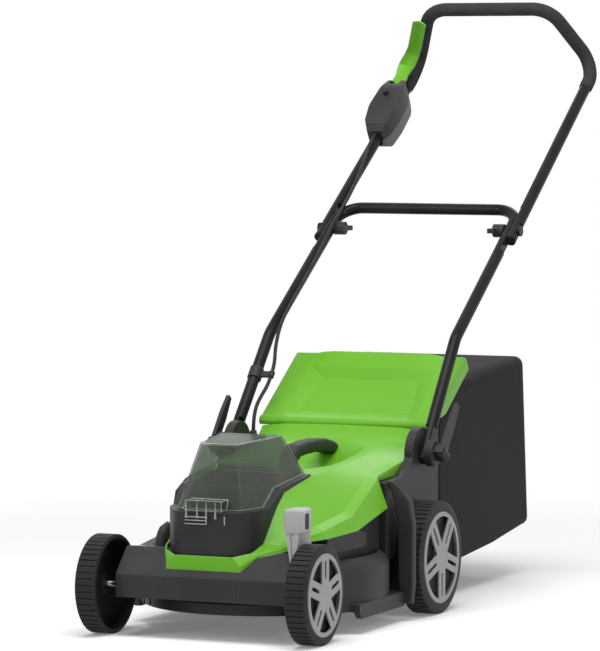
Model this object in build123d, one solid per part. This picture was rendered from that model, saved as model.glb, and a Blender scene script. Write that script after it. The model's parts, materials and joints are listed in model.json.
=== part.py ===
from build123d import *
import math
import os

# Push lawn mower, battery driven, rear discharge into a fabric grass bag.
# Millimetres. +Z is up, the front faces -Y and the handle stands at +Y.
# The pieces are drawn with Y measured from the front axle and Z from the ground,
# and are moved at the end so that the origin is the middle of the footprint.

# Wheels
FRONT_WHEEL_R = 75.0
REAR_WHEEL_R = 88.5
WHEELBASE = 407.0
FRONT_TRACK = 13.0
REAR_TRACK = 34.0
FRONT_TREAD = 33.4
REAR_TREAD = 38.0
FRONT_LAND_COUNT = 48
REAR_LAND_COUNT = 56
RIM_WALL = 6.5
GROOVE_W = 2.6
GROOVE_D = 2.2
SHOULDER = 3.0
WEB_T = 4.4
CAP_RECESS = 6.0
HUB_R = 15.0
HUB_SETBACK = 17.5
HUB_PROUD = 1.6
FRONT_CAP_R = 62.0
REAR_CAP_R = 71.6
CAP_T = 2.3
CAP_RIM_W = 7.0
CAP_EYE_R = 21.0
SPOKE_COUNT = 5
SPOKE_W = 25.0
SPOKE_SLOT_W = 6.0

# Axles and height adjustment
AXLE_R = 5.0
AXLE_BEND = 10.0
CRANK_R = 60.0
CUT_MIN = 25.0
CUT_MAX = 80.0
CUT_REST = 39.0
CRANK_INSET = 7.4
LIFT_ARM_R = 48.0
FRONT_RISE_X = 120.0
LINK_X = 94.0
LINK_R = 2.5
LINK_EYE_R = 9.0
LINK_EYE_T = 6.0
LINK_PIN_R = 3.0
NUT_R = 9.0
NUT_T = 3.5
CAP_BLOCK_H = 12.0
CAP_BLOCK_HALF_Y = 15.0
LEVER_T = 7.0
LEVER_GRIP_Y = 12.0
LEVER_GRIP_Z = 182.0
LEVER_GRIP = (22.0, 40.0, 38.0)

# Deck
BLADE_Y = 205.0
BLADE_R = 175.0
BLADE_CLEARANCE = 10.0
ROOF_Z = 97.5
WALL = 3.5
CHAMBER_CONE = 39.0
CHAMBER_RIM_Z = 34.0
CHAMBER_CONE_Z = 50.0
FAIRING_Y = -31.0
FAIRING_GAP = 14.6
FAIRING_BOTTOM_Z = 60.0
FAIRING_BREAK_Z = 95.0
FAIRING_TOP_Z = 133.0
FAIRING_BACK_Y = 100.0
FAIRING_ROUND = 6.0
SKIN_STAND = 5.0
SKIN_LEAN = 16.0
SKIN_SHOULDER_Z = 94.0
SKIN_TOP_Z = 112.0
SKIN_END_Y = WHEELBASE - 116.0
RAIL_BOTTOM_Z = 24.0
RAIL_TOP_Z = 46.0
RAIL_T = 10.0
RAIL_PROUD = 1.0
RAIL_Y0 = 126.0
RAIL_Y1 = WHEELBASE - 99.0
COLLAR_W = 14.0
COLLAR_BOTTOM_Z = 126.0
COLLAR_END_Y = 206.0

# Discharge chute and back plate
CHUTE_X0 = -120.0
CHUTE_X1 = 78.0
CHUTE_WALL = 3.0
CHUTE_ROOF_Y0 = 300.0
CHUTE_FLOOR_Z = 84.0
CHUTE_LIP_Z = 54.0
CHUTE_ROOF_Z = 235.0
BACK_PLATE_Y = WHEELBASE + 105.0
BACK_PLATE_T = 6.0
BACK_PLATE_HALF_X = 147.0
BACK_PLATE_TOP_Z = 273.0
BACK_PLATE_BOTTOM_Z = 68.0

# Rear towers
TOWER_IN_X = 150.0
TOWER_OUT_X = 164.0
TOWER_BOTTOM_Z = 24.0
TOWER_FRONT_Y = WHEELBASE - 115.0
TOWER_BACK_Y = WHEELBASE + 78.0
PIVOT_Y = WHEELBASE + 31.0
PIVOT_Z = 248.0
TOWER_ARCH_R = 40.0

# Drive
MOTOR_R = 42.0
MOTOR_TOP_Z = 150.0
SHAFT_R = 6.0
BLADE_W = 46.0
BLADE_T = 3.5
BLADE_Z = 42.0
BLADE_WING_H = 11.0
BOLT_HEAD_T = 8.0
MOTOR_SCREW_R = 4.5
MOTOR_SCREW_PCD = 60.0

# Hood
HOOD_WALL = 3.0
BOWL_HALF_X = 60.0
BOWL_Y0 = WHEELBASE - 62.0
BOWL_Y1 = WHEELBASE + 43.0
BOWL_FLOOR_Z = 206.0
CARRY_W = 28.0

# Battery bay
HOUSING_WALL = 3.0
HOUSING_FRONT_Y = -17.0
HOUSING_BACK_Y = 172.0
HOUSING_FLOOR_Z = 127.0
HOUSING_STEP_Z = 156.0
LID_WALL = 2.5
TAB_HALF_X = 30.0
TAB_T = 3.0
LID_GAP = 0.4
LID_HINGE_Y = 178.0
LID_HINGE_Z = 241.0
LID_PIN_R = 2.5
LID_KNUCKLE_R = 5.0
DOCK_FRONT_Y = 128.0
DOCK_TOP_Z = 214.0
DOCK_HALF_X = 70.0
DOCK_BAY_X = 36.0
KEY_X = 54.0
KEY_Y = 150.0

# Rear flap
FLAP_HINGE_Y = WHEELBASE + 106.0
FLAP_HINGE_Z = 283.0
FLAP_TIP_Y = WHEELBASE + 253.0
FLAP_TIP_Z = 379.5
FLAP_T = 5.0
FLAP_HALF_X = 148.0
FLAP_ROD_R = 3.0
FLAP_KNUCKLE_R = 6.5
FLAP_EAR_W = 10.0
FLAP_EAR_X = (-110.0, 0.0, 110.0)
SKIRT_T = 2.0
SKIRT_H = 22.0
RECESS_LIFT = 13.0
RECESS_HALF_X = 80.0
RECESS_SLOPE = 25.0

# Grass bag
BAG_SEAT = 0.4
BAG_MOUTH_Y = BACK_PLATE_Y + BACK_PLATE_T + BAG_SEAT
BAG_FRAME_Y = WHEELBASE + 153.0
BAG_FRAME_HALF_X = 143.0
BAG_WALL = 3.0
BAG_CORNER = 14.0

# Handles
TUBE_R = 9.5
LOWER_END_X = 168.0
LOWER_BEND = (163.0, WHEELBASE + 173.0, 420.0)
LOWER_CORNER = (161.0, WHEELBASE + 466.0, 616.0)
LOWER_BEND_R = 70.0
LOWER_CORNER_R = 40.0
KNOB_Y = WHEELBASE + 417.0
UPPER_END_X = 171.0
UPPER_WIDE = (166.0, WHEELBASE + 817.3, 852.7)
TOP_NARROWING = 54.7
TOP_FORWARD = 83.4
TOP_RISE = 100.9
UPPER_WIDE_R = 40.0
UPPER_TOP_R = 48.0
UPPER_TAIL = 28.0
LEG_SPLIT_X = 165.85
LEG_GAP = 0.3
FLAT_OUT_X = 177.0
FLAT_IN_X = 153.0
FLAT_ZONE = 62.0
GRIP_R = 11.6
GRIP_GAP = 0.15
GRIP_LEG = 66.0
BOLT_R = 4.0
RUN = 0.08
BOLT_HEAD_R = 9.0
WING_HUB_R = 11.0
WING_TIP_X = 129.0
WING_SPAN = 23.0
DISC_R = 21.0
DISC_OUT_X = 188.7
PIVOT_NUT_R = 9.0
CAM_R = 9.0
CAM_X = 198.5
CAM_LENGTH = 94.0
CAM_W = 19.0
CAM_PIN_R = 3.0

# Switch box
BOX_FROM_WIDE = 162.0
BOX_HALF_LENGTH = 62.0
BOX_HALF_W = 24.0
BOX_TOP = 36.0
BOX_BOTTOM = 15.0
BOX_WALL = 3.0
BOX_BORE_GAP = 0.9
BAIL_U = 52.0
BAIL_W = 22.0
BAIL_PIN_R = 2.5
BAIL_STEM_W = 14.0
BAIL_STEM_T = 9.0
BAIL_WIDTH = 24.0
BAIL_T = 2.6
BAIL_CURVE_R = 15.0
BAIL_STAND = 31.0
BUTTON_R = 5.0
BUTTON_U = 12.0

# Cable
CABLE_R = 3.0
CABLE_OFFSET = 13.4
GLAND_X = -134.0
GLAND_Y = WHEELBASE + 45.0
GLAND_TOP_Z = 272.0
CLIP_T = 2.0
CLIP_W = 20.0
CLIP_DOWN = 82.0
CLIP_ARM_T = 5.0
CLIP_CABLE_X = -137.0
CLIP_CABLE_FRONT = 1.0
REACH = 400.0

# Sizes that follow from those above
FRONT_OUTER_X = BLADE_R + FRONT_TRACK
REAR_OUTER_X = BLADE_R + REAR_TRACK
CHAMBER_R = BLADE_R + BLADE_CLEARANCE
CHAMBER_TOP_R = CHAMBER_R - CHAMBER_CONE
FAIRING_HALF_X = FRONT_OUTER_X - FRONT_TREAD - FAIRING_GAP
SKIN_R = CHAMBER_R + SKIN_STAND
SKIN_TOP_R = SKIN_R - SKIN_LEAN
RAIL_OUT_X = SKIN_R + RAIL_PROUD
RAIL_IN_X = RAIL_OUT_X - RAIL_T
UPPER_TOP = (UPPER_WIDE[0] - TOP_NARROWING, UPPER_WIDE[1] - TOP_FORWARD, UPPER_WIDE[2] + TOP_RISE)

nodes = {}


# Shared shapes
def block(x0, x1, y0, y1, z0, z1):
    """A box between two corners."""
    return Pos((x0 + x1) / 2, (y0 + y1) / 2, (z0 + z1) / 2) * Box(x1 - x0, y1 - y0, z1 - z0)


def prism_x(points, x0, x1):
    """An outline of (y, z) points, extruded along X."""
    face = make_face(Polyline(*[(x0, y, z) for y, z in points], close=True))
    return extrude(face, amount=x1 - x0, dir=(1, 0, 0))


def prism_z(points, z0, z1):
    """An outline of (x, y) points, extruded along Z."""
    face = make_face(Polyline(*[(x, y, z0) for x, y in points], close=True))
    return extrude(face, amount=z1 - z0, dir=(0, 0, 1))


def rounded(points, radii):
    """A face of flat points whose corners have these radii, 0 for a sharp one."""
    face = make_face(Polyline(*points, close=True)).face()
    for point, radius in zip(points, radii):
        if radius:
            corner = min(face.vertices(), key=lambda v: (Vector(*point) - Vector(v.X, v.Y, v.Z)).length)
            face = face.fillet_2d(radius, [corner])
    return face


def rod_x(radius, x0, x1, y, z):
    """A round bar along X."""
    return Pos((x0 + x1) / 2, y, z) * Rot(0, 90, 0) * Cylinder(radius, abs(x1 - x0))


def rod_z(radius, z0, z1, x, y):
    """A round bar along Z."""
    return Pos(x, y, (z0 + z1) / 2) * Cylinder(radius, z1 - z0)


def bar(start, end, radius):
    """A round bar between two points."""
    line = Line(start, end)
    return sweep(Plane(origin=line @ 0, z_dir=line % 0) * Circle(radius), path=line)


def bent_bar(points, radii, radius):
    """A round bar along straight runs joined by tangent arcs."""
    path = FilletPolyline(*points, radius=radii)
    return sweep(Plane(origin=path @ 0, z_dir=path % 0) * Circle(radius), path=path)


def both_sides(points):
    """A half route on +X, continued by its mirror image."""
    return list(points) + [(-x, y, z) for x, y, z in reversed(points)]


def other_side(shape):
    """The mirror image on -X."""
    return mirror(shape, about=Plane.YZ)


def pair(name, shape):
    """A left piece on +X and its right twin on -X."""
    nodes[name + "_left"] = shape
    nodes[name + "_right"] = other_side(shape)


def group(*shapes):
    """Separate solids that share one node."""
    return Compound(children=[solid for shape in shapes for solid in shape.solids()])


def section(y, points):
    """A closed outline of (x, z) points at one Y."""
    return make_face(Polyline(*[(x, y, z) for x, z in points], close=True))


def middle(first, last, share):
    """A point on the straight run between two points."""
    return tuple(a + (b - a) * share for a, b in zip(first, last))


# Wheels and hubcaps
def spin_x(outline):
    """A solid turned about X from (x, radius) points."""
    face = make_face(Polyline(*[(x, r, 0) for x, r in outline], close=True))
    return revolve(face, axis=Axis.X)


def make_wheel(radius, tread, lands, cap_r):
    step = 360.0 / lands
    corner_r = radius / math.cos(math.radians(step / 2))
    turns = [math.radians((k + 0.5) * step) for k in range(lands)]
    drum = prism_x([(corner_r * math.sin(a), -corner_r * math.cos(a)) for a in turns], 0, tread)
    drum = drum & spin_x([
        (0, 0), (0, radius - SHOULDER), (SHOULDER, corner_r + GROOVE_D),
        (tread - SHOULDER, corner_r + GROOVE_D), (tread, radius - SHOULDER), (tread, 0),
    ])
    web_out = tread - CAP_RECESS
    web_in = web_out - WEB_T
    hub_out = web_out + HUB_PROUD
    drum = drum - spin_x([(-1, HUB_R), (-1, radius - RIM_WALL), (web_in, radius - RIM_WALL), (web_in, HUB_R)])
    drum = drum - rod_x(HUB_R + 1, -1, HUB_SETBACK, 0, 0)
    drum = drum - spin_x([(hub_out, 0), (hub_out, HUB_R), (web_out, HUB_R), (web_out, cap_r + LEG_GAP),
                          (tread + 1, cap_r + LEG_GAP), (tread + 1, 0)])
    drum = drum - rod_x(AXLE_R + RUN, 0, tread, 0, 0)
    groove = Pos(tread / 2, 0, -corner_r) * Box(tread + 2, GROOVE_W, 2 * GROOVE_D)
    return drum - [Rot((k + 0.5) * step, 0, 0) * groove for k in range(lands)]


def make_hubcap(tread, cap_r, first_turn):
    web_out = tread - CAP_RECESS
    face_in = web_out + HUB_PROUD + NUT_T + 2 * LEG_GAP
    face_out = face_in + CAP_T
    disc = Circle(cap_r)
    window_r = cap_r - CAP_RIM_W
    spokes = [Rot(0, 0, first_turn + k * 360.0 / SPOKE_COUNT) * Pos(cap_r / 2, 0)
              * Rectangle(cap_r, SPOKE_W) for k in range(SPOKE_COUNT)]
    windows = Circle(window_r) - Circle(CAP_EYE_R) - spokes
    slot_length = window_r - CAP_EYE_R - SPOKE_SLOT_W
    slot_r = (window_r + CAP_EYE_R) / 2
    slots = [Rot(0, 0, first_turn + k * 360.0 / SPOKE_COUNT) * Pos(slot_r, 0)
             * SlotOverall(slot_length, SPOKE_SLOT_W) for k in range(SPOKE_COUNT)]
    plate = disc - windows - slots
    cap = extrude(Plane.YZ.offset(face_in) * plate, amount=CAP_T)
    skirt = rod_x(cap_r, web_out, face_in, 0, 0) - rod_x(cap_r - CAP_T, web_out, face_in, 0, 0)
    boss = rod_x(HUB_R + 2 * CAP_T, web_out, face_in, 0, 0) - rod_x(HUB_R + LEG_GAP, web_out, face_in, 0, 0)
    rim = [e for e in cap.edges().filter_by(GeomType.CIRCLE)
           if abs(e.radius - cap_r) < 0.01 and abs(e.center().X - face_out) < 0.01]
    return fillet(rim, CAP_T / 2) + skirt + boss


front_inner_x = FRONT_OUTER_X - FRONT_TREAD
rear_inner_x = REAR_OUTER_X - REAR_TREAD
front_at = Pos(front_inner_x, 0, FRONT_WHEEL_R)
rear_at = Pos(rear_inner_x, WHEELBASE, REAR_WHEEL_R)
pair("front_wheel", front_at * make_wheel(FRONT_WHEEL_R, FRONT_TREAD, FRONT_LAND_COUNT, FRONT_CAP_R))
pair("rear_wheel", rear_at * make_wheel(REAR_WHEEL_R, REAR_TREAD, REAR_LAND_COUNT, REAR_CAP_R))
pair("front_hubcap", front_at * make_hubcap(FRONT_TREAD, FRONT_CAP_R, 90))
pair("rear_hubcap", rear_at * make_hubcap(REAR_TREAD, REAR_CAP_R, 270))

# Cranked axles: turning them raises and lowers the deck
crank_rise = (CUT_MIN + CUT_MAX) / 2 - CUT_REST
crank_y = math.sqrt(CRANK_R ** 2 - crank_rise ** 2)
front_axis_y = crank_y
front_axis_z = FRONT_WHEEL_R - crank_rise
rear_axis_y = WHEELBASE + crank_y
rear_axis_z = REAR_WHEEL_R - crank_rise
crank_rest = math.asin(crank_rise / CRANK_R)
arm_y = LIFT_ARM_R * math.sin(crank_rest)
arm_z = LIFT_ARM_R * math.cos(crank_rest)

front_arm_x = front_inner_x + CRANK_INSET
front_nut_x = FRONT_OUTER_X - CAP_RECESS + HUB_PROUD + LEG_GAP
front_half = [
    (front_nut_x + NUT_T, 0, FRONT_WHEEL_R),
    (front_arm_x, 0, FRONT_WHEEL_R),
    (front_arm_x, front_axis_y, front_axis_z),
    (FRONT_RISE_X, front_axis_y, front_axis_z),
    (FRONT_RISE_X, front_axis_y + arm_y, front_axis_z + arm_z),
]
nodes["front_axle"] = bent_bar(both_sides(front_half), AXLE_BEND, AXLE_R)

rear_arm_x = rear_inner_x + CRANK_INSET
rear_nut_x = REAR_OUTER_X - CAP_RECESS + HUB_PROUD + LEG_GAP
rear_half = [
    (rear_nut_x + NUT_T, WHEELBASE, REAR_WHEEL_R),
    (rear_arm_x, WHEELBASE, REAR_WHEEL_R),
    (rear_arm_x, rear_axis_y, rear_axis_z),
]
link_in = LINK_X - LINK_EYE_T / 2
rear_arm_in = link_in - LEG_GAP - LINK_EYE_T
rear_pin_y = rear_axis_y + arm_y
rear_pin_z = rear_axis_z + arm_z
rear_bar = bent_bar(both_sides(rear_half), AXLE_BEND, AXLE_R)
lift_arm = (rod_x(LINK_EYE_R, rear_arm_in, link_in - LEG_GAP, rear_axis_y, rear_axis_z)
            + rod_x(LINK_EYE_R - 1, rear_arm_in, link_in - LEG_GAP, rear_pin_y, rear_pin_z)
            + prism_x([(rear_axis_y - LINK_EYE_R + 1, rear_axis_z),
                       (rear_axis_y + LINK_EYE_R - 1, rear_axis_z),
                       (rear_pin_y + LINK_EYE_R - 2, rear_pin_z), (rear_pin_y - LINK_EYE_R + 2, rear_pin_z)],
                      rear_arm_in, link_in - LEG_GAP))
link_pin = rod_x(LINK_PIN_R, rear_arm_in, LINK_X + LINK_EYE_T / 2 + 2, rear_pin_y, rear_pin_z)
nodes["rear_axle"] = rear_bar + lift_arm + link_pin


def wheel_nuts(x0, y, z):
    nut = rod_x(NUT_R, x0, x0 + NUT_T, y, z) - rod_x(AXLE_R, x0, x0 + NUT_T, y, z)
    return group(nut, other_side(nut))


nodes["front_axle_nuts"] = wheel_nuts(front_nut_x, 0, FRONT_WHEEL_R)
nodes["rear_axle_nuts"] = wheel_nuts(rear_nut_x, WHEELBASE, REAR_WHEEL_R)

# Link rod: makes the rear axle follow the front one
front_eye_y = front_axis_y + arm_y
front_eye_z = front_axis_z + arm_z
link_run = math.hypot(rear_pin_y - front_eye_y, rear_pin_z - front_eye_z)
link_dy = (rear_pin_y - front_eye_y) / link_run * (LINK_EYE_R - 1.5)
link_dz = (rear_pin_z - front_eye_z) / link_run * (LINK_EYE_R - 1.5)
link = bar((LINK_X, front_eye_y + link_dy, front_eye_z + link_dz),
           (LINK_X, rear_pin_y - link_dy, rear_pin_z - link_dz), LINK_R)
link_eyes = [(front_eye_y, front_eye_z, AXLE_R + RUN), (rear_pin_y, rear_pin_z, LINK_PIN_R + LEG_GAP)]
for eye_y, eye_z, hole in link_eyes:
    link = link + rod_x(LINK_EYE_R, link_in, link_in + LINK_EYE_T, eye_y, eye_z)
    link = link - rod_x(hole, link_in - 1, link_in + LINK_EYE_T + 1, eye_y, eye_z)
nodes["link_rod"] = link

# Height lever on the front axle, beside the front left wheel
lever_x0 = FAIRING_HALF_X + 2.5
lever_x1 = lever_x0 + LEVER_T
grip_x, grip_y, grip_z = LEVER_GRIP
grip_block = block(lever_x1 + 1 - grip_x, lever_x1 + 1, LEVER_GRIP_Y - grip_y / 2, LEVER_GRIP_Y + grip_y / 2,
                   LEVER_GRIP_Z - grip_z / 2, LEVER_GRIP_Z + grip_z / 2)
grip_block = fillet(grip_block.edges(), 4.5)
stem = prism_x([
    (front_axis_y - 9, front_axis_z), (front_axis_y + 9, front_axis_z),
    (LEVER_GRIP_Y + 10, LEVER_GRIP_Z - 8), (LEVER_GRIP_Y - 12, LEVER_GRIP_Z - 8),
], lever_x0, lever_x1)
lever = grip_block + stem + rod_x(NUT_R + 3, lever_x0, lever_x1, front_axis_y, front_axis_z)
nodes["height_lever"] = lever - rod_x(AXLE_R, lever_x0 - 1, lever_x1 + 1, front_axis_y, front_axis_z)


# Deck: blade chamber, front fairing, side skins and skid rails
def turned_z(outline):
    """A solid turned about the blade's axis from (radius, z) points."""
    face = make_face(Polyline(*[(r, 0, z) for r, z in outline], close=True))
    return Pos(0, BLADE_Y, 0) * revolve(face, axis=Axis.Z)


chamber_inside = turned_z([
    (0, 0), (CHAMBER_R, 0), (CHAMBER_R, CHAMBER_CONE_Z), (CHAMBER_TOP_R, ROOF_Z - WALL), (0, ROOF_Z - WALL),
])
chamber_outside = turned_z([
    (0, CHAMBER_RIM_Z), (CHAMBER_R + WALL, CHAMBER_RIM_Z), (CHAMBER_R + WALL, CHAMBER_CONE_Z),
    (CHAMBER_TOP_R + WALL, ROOF_Z), (0, ROOF_Z),
])
skin_mid_r = SKIN_R - (SKIN_R - SKIN_TOP_R) * 0.3
skin_mid_z = SKIN_SHOULDER_Z + (SKIN_TOP_Z - SKIN_SHOULDER_Z) * 0.55
skin_outside = turned_z([
    (0, CHAMBER_RIM_Z), (SKIN_R, CHAMBER_RIM_Z), (SKIN_R, SKIN_SHOULDER_Z), (skin_mid_r, skin_mid_z),
    (SKIN_TOP_R, SKIN_TOP_Z), (0, SKIN_TOP_Z),
])
skin_inside = turned_z([
    (0, CHAMBER_RIM_Z), (SKIN_R - WALL, CHAMBER_RIM_Z), (SKIN_R - WALL, SKIN_SHOULDER_Z),
    (skin_mid_r - WALL, skin_mid_z), (SKIN_TOP_R - WALL, SKIN_TOP_Z + 1), (0, SKIN_TOP_Z + 1),
])
flank = block(FAIRING_HALF_X - WALL, SKIN_R + 5, FAIRING_BACK_Y - WALL, SKIN_END_Y, 0, SKIN_TOP_Z + 5)
flank_front = block(FAIRING_HALF_X - WALL, SKIN_R + 5, FAIRING_BACK_Y - WALL, FAIRING_BACK_Y,
                    0, SKIN_TOP_Z + 5)
side_skin = ((skin_outside - skin_inside) & flank) + (skin_outside & flank_front)
rail = (block(TOWER_IN_X, RAIL_OUT_X, RAIL_Y0, RAIL_Y1, CHAMBER_RIM_Z, RAIL_TOP_Z)
        + prism_x([(RAIL_Y0 + 10, RAIL_BOTTOM_Z), (RAIL_Y0, RAIL_BOTTOM_Z + 10), (RAIL_Y0, RAIL_TOP_Z),
                   (RAIL_Y1, RAIL_TOP_Z), (RAIL_Y1, RAIL_BOTTOM_Z + 8), (RAIL_Y1 - 8, RAIL_BOTTOM_Z)],
                  RAIL_IN_X, RAIL_OUT_X))
fairing_slope_y = FAIRING_Y + FAIRING_TOP_Z - FAIRING_BREAK_Z
fairing_outside = prism_x([
    (FAIRING_Y, FAIRING_BOTTOM_Z), (FAIRING_Y, FAIRING_BREAK_Z), (fairing_slope_y, FAIRING_TOP_Z),
    (FAIRING_BACK_Y, FAIRING_TOP_Z + 3), (FAIRING_BACK_Y, FAIRING_BOTTOM_Z),
], -FAIRING_HALF_X, FAIRING_HALF_X)
fairing_edges = [e for e in fairing_outside.edges() if abs(e.center().X) < 1
                 and e.center().Z > FAIRING_BREAK_Z - 1 and e.center().Y < fairing_slope_y + 1]
fairing_outside = fillet(fairing_edges, FAIRING_ROUND)
fairing_inside = prism_x([
    (FAIRING_Y + WALL, 0), (FAIRING_Y + WALL, FAIRING_BREAK_Z - WALL / 2),
    (fairing_slope_y + WALL / 2, FAIRING_TOP_Z - WALL), (FAIRING_BACK_Y + 1, FAIRING_TOP_Z + 3 - WALL),
    (FAIRING_BACK_Y + 1, 0),
], WALL - FAIRING_HALF_X, FAIRING_HALF_X - WALL)
saddle_x0 = FRONT_RISE_X + AXLE_BEND
front_saddle = block(saddle_x0, FAIRING_HALF_X, front_axis_y - CAP_BLOCK_HALF_Y,
                     front_axis_y + CAP_BLOCK_HALF_Y, front_axis_z, ROOF_Z)
cap_space = block(saddle_x0, FAIRING_HALF_X + 1, front_axis_y - CAP_BLOCK_HALF_Y,
                  front_axis_y + CAP_BLOCK_HALF_Y, 0, front_axis_z)
front_cap = block(saddle_x0, FAIRING_HALF_X, front_axis_y - CAP_BLOCK_HALF_Y,
                  front_axis_y + CAP_BLOCK_HALF_Y, front_axis_z - CAP_BLOCK_H, front_axis_z)
front_bore = rod_x(AXLE_R + RUN, saddle_x0 - 1, FAIRING_HALF_X + 1, front_axis_y, front_axis_z)
rear_plate = block(-TOWER_IN_X, TOWER_IN_X, BLADE_Y + MOTOR_R, rear_axis_y - 36, ROOF_Z - WALL, ROOF_Z)

flank_parts = side_skin + rail + front_saddle
deck = chamber_outside + (fairing_outside - fairing_inside) + rear_plate
deck = deck + flank_parts + other_side(flank_parts)
deck = deck - chamber_inside - cap_space - other_side(cap_space) - front_bore - other_side(front_bore)
deck = deck - rod_z(MOTOR_SCREW_PCD / 2 - MOTOR_SCREW_R * 2, 0, ROOF_Z + 1, 0, BLADE_Y)

# Discharge chute with its back plate
chute_out_y = BACK_PLATE_Y + BACK_PLATE_T
chamber_back_y = BLADE_Y + CHAMBER_R
chute_outside = prism_x([
    (CHUTE_ROOF_Y0, ROOF_Z - WALL), (chute_out_y, CHUTE_ROOF_Z), (chute_out_y, CHUTE_FLOOR_Z),
    (chamber_back_y + 40, CHUTE_FLOOR_Z), (chamber_back_y, CHUTE_LIP_Z), (CHUTE_ROOF_Y0, CHUTE_LIP_Z),
], CHUTE_X0, CHUTE_X1)
chute_inside = prism_x([
    (CHUTE_ROOF_Y0 - 10, ROOF_Z - WALL - 10), (chute_out_y + 1, CHUTE_ROOF_Z - CHUTE_WALL),
    (chute_out_y + 1, CHUTE_FLOOR_Z + CHUTE_WALL), (chamber_back_y + 39, CHUTE_FLOOR_Z + CHUTE_WALL),
    (chamber_back_y - 1, CHUTE_LIP_Z + CHUTE_WALL), (CHUTE_ROOF_Y0 - 10, CHUTE_LIP_Z + CHUTE_WALL),
], CHUTE_X0 + CHUTE_WALL, CHUTE_X1 - CHUTE_WALL)
back_plate = block(-BACK_PLATE_HALF_X, BACK_PLATE_HALF_X, BACK_PLATE_Y, chute_out_y,
                   BACK_PLATE_BOTTOM_Z, BACK_PLATE_TOP_Z)
ear_half = FLAP_EAR_W / 2
ears = [block(x - ear_half, x + ear_half, BACK_PLATE_Y - 4, chute_out_y, BACK_PLATE_TOP_Z - 6, FLAP_HINGE_Z)
        + rod_x(FLAP_KNUCKLE_R, x - ear_half, x + ear_half, FLAP_HINGE_Y, FLAP_HINGE_Z) for x in FLAP_EAR_X]
flap_rod_bore = rod_x(FLAP_ROD_R + RUN, -FLAP_HALF_X - 5, FLAP_HALF_X + 5, FLAP_HINGE_Y, FLAP_HINGE_Z)
chute = chute_outside + back_plate + ears[0] + ears[1] + ears[2]
nodes["discharge_chute"] = chute - chute_inside - chamber_inside - flap_rod_bore
deck = deck - chute_outside

# Rear towers carry the handle pivots and the rear axle
tower = prism_x([
    (TOWER_FRONT_Y, ROOF_Z - WALL), (TOWER_FRONT_Y, PIVOT_Z - 34.5), (PIVOT_Y - 81, PIVOT_Z - 30.5),
    (PIVOT_Y - 45, PIVOT_Z - 12), (PIVOT_Y - 37, PIVOT_Z), (PIVOT_Y + TOWER_ARCH_R, PIVOT_Z),
    (TOWER_BACK_Y, PIVOT_Z - 60), (TOWER_BACK_Y, 60), (TOWER_BACK_Y - 20, TOWER_BOTTOM_Z),
    (PIVOT_Y - 93, TOWER_BOTTOM_Z), (PIVOT_Y - 93, ROOF_Z - WALL),
], TOWER_IN_X, TOWER_OUT_X) + rod_x(TOWER_ARCH_R, TOWER_IN_X, TOWER_OUT_X, PIVOT_Y, PIVOT_Z)
bearing_out_x = rear_inner_x - 2
tower = tower + block(TOWER_OUT_X, bearing_out_x, rear_axis_y - CAP_BLOCK_HALF_Y,
                      rear_axis_y + CAP_BLOCK_HALF_Y, rear_axis_z, rear_axis_z + 2 * CAP_BLOCK_H)
rear_cap_space = block(TOWER_IN_X - 1, bearing_out_x + 1, rear_axis_y - CAP_BLOCK_HALF_Y,
                       rear_axis_y + CAP_BLOCK_HALF_Y, 0, rear_axis_z)
rear_bore = rod_x(AXLE_R + RUN, TOWER_IN_X - 1, bearing_out_x + 1, rear_axis_y, rear_axis_z)
nut_pocket_x = TOWER_IN_X + 6
tower = tower - rear_cap_space - rear_bore
tower = tower - rod_x(BOLT_R + RUN, TOWER_IN_X - 1, TOWER_OUT_X + 1, PIVOT_Y, PIVOT_Z)
tower = tower - rod_x(PIVOT_NUT_R + 1, TOWER_IN_X - 1, nut_pocket_x, PIVOT_Y, PIVOT_Z)
rear_cap = block(TOWER_IN_X, bearing_out_x, rear_axis_y - CAP_BLOCK_HALF_Y, rear_axis_y + CAP_BLOCK_HALF_Y,
                 rear_axis_z - CAP_BLOCK_H, rear_axis_z) - rear_bore
pair("rear_tower", tower)
front_cap = front_cap - front_bore
nodes["axle_bearing_caps"] = group(front_cap, other_side(front_cap), rear_cap, other_side(rear_cap))

# Motor, shaft and blade
nodes["motor"] = (rod_z(MOTOR_R, ROOF_Z, MOTOR_TOP_Z - 8, 0, BLADE_Y)
                  + rod_z(MOTOR_R - 8, MOTOR_TOP_Z - 8, MOTOR_TOP_Z, 0, BLADE_Y)
                  - rod_z(SHAFT_R + RUN, ROOF_Z - 1, MOTOR_TOP_Z + 1, 0, BLADE_Y))
nodes["motor_shaft"] = rod_z(SHAFT_R, BLADE_Z, MOTOR_TOP_Z - 2, 0, BLADE_Y)
screw = rod_z(MOTOR_SCREW_R, ROOF_Z - WALL - 3, ROOF_Z - WALL, MOTOR_SCREW_PCD / 2, 0)
nodes["motor_screws"] = group(*[Pos(0, BLADE_Y, 0) * Rot(0, 0, 45 + 90 * k) * screw for k in range(4)])
blade_top_z = BLADE_Z + BLADE_T
shaft_hole = rod_z(SHAFT_R, 0, ROOF_Z, 0, BLADE_Y)
nodes["blade_adapter"] = (rod_z(26, blade_top_z, blade_top_z + 5, 0, BLADE_Y)
                          + rod_z(14, blade_top_z + 5, blade_top_z + 18, 0, BLADE_Y) - shaft_hole)
half_w = BLADE_W / 2
blade = block(-BLADE_R, BLADE_R, BLADE_Y - half_w, BLADE_Y + half_w, BLADE_Z, blade_top_z)
for side in (1, -1):
    wing = prism_x([(side * half_w * 0.35, BLADE_Z), (side * half_w, BLADE_Z + BLADE_WING_H),
                    (side * half_w, BLADE_Z + BLADE_WING_H + BLADE_T), (side * half_w * 0.35, blade_top_z)],
                   -BLADE_R, -BLADE_R * 0.64)
    wing = Pos(0, BLADE_Y, 0) * wing
    if side < 0:
        wing = Pos(BLADE_R * 1.64, 0, 0) * wing
    blade = blade + wing
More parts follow.
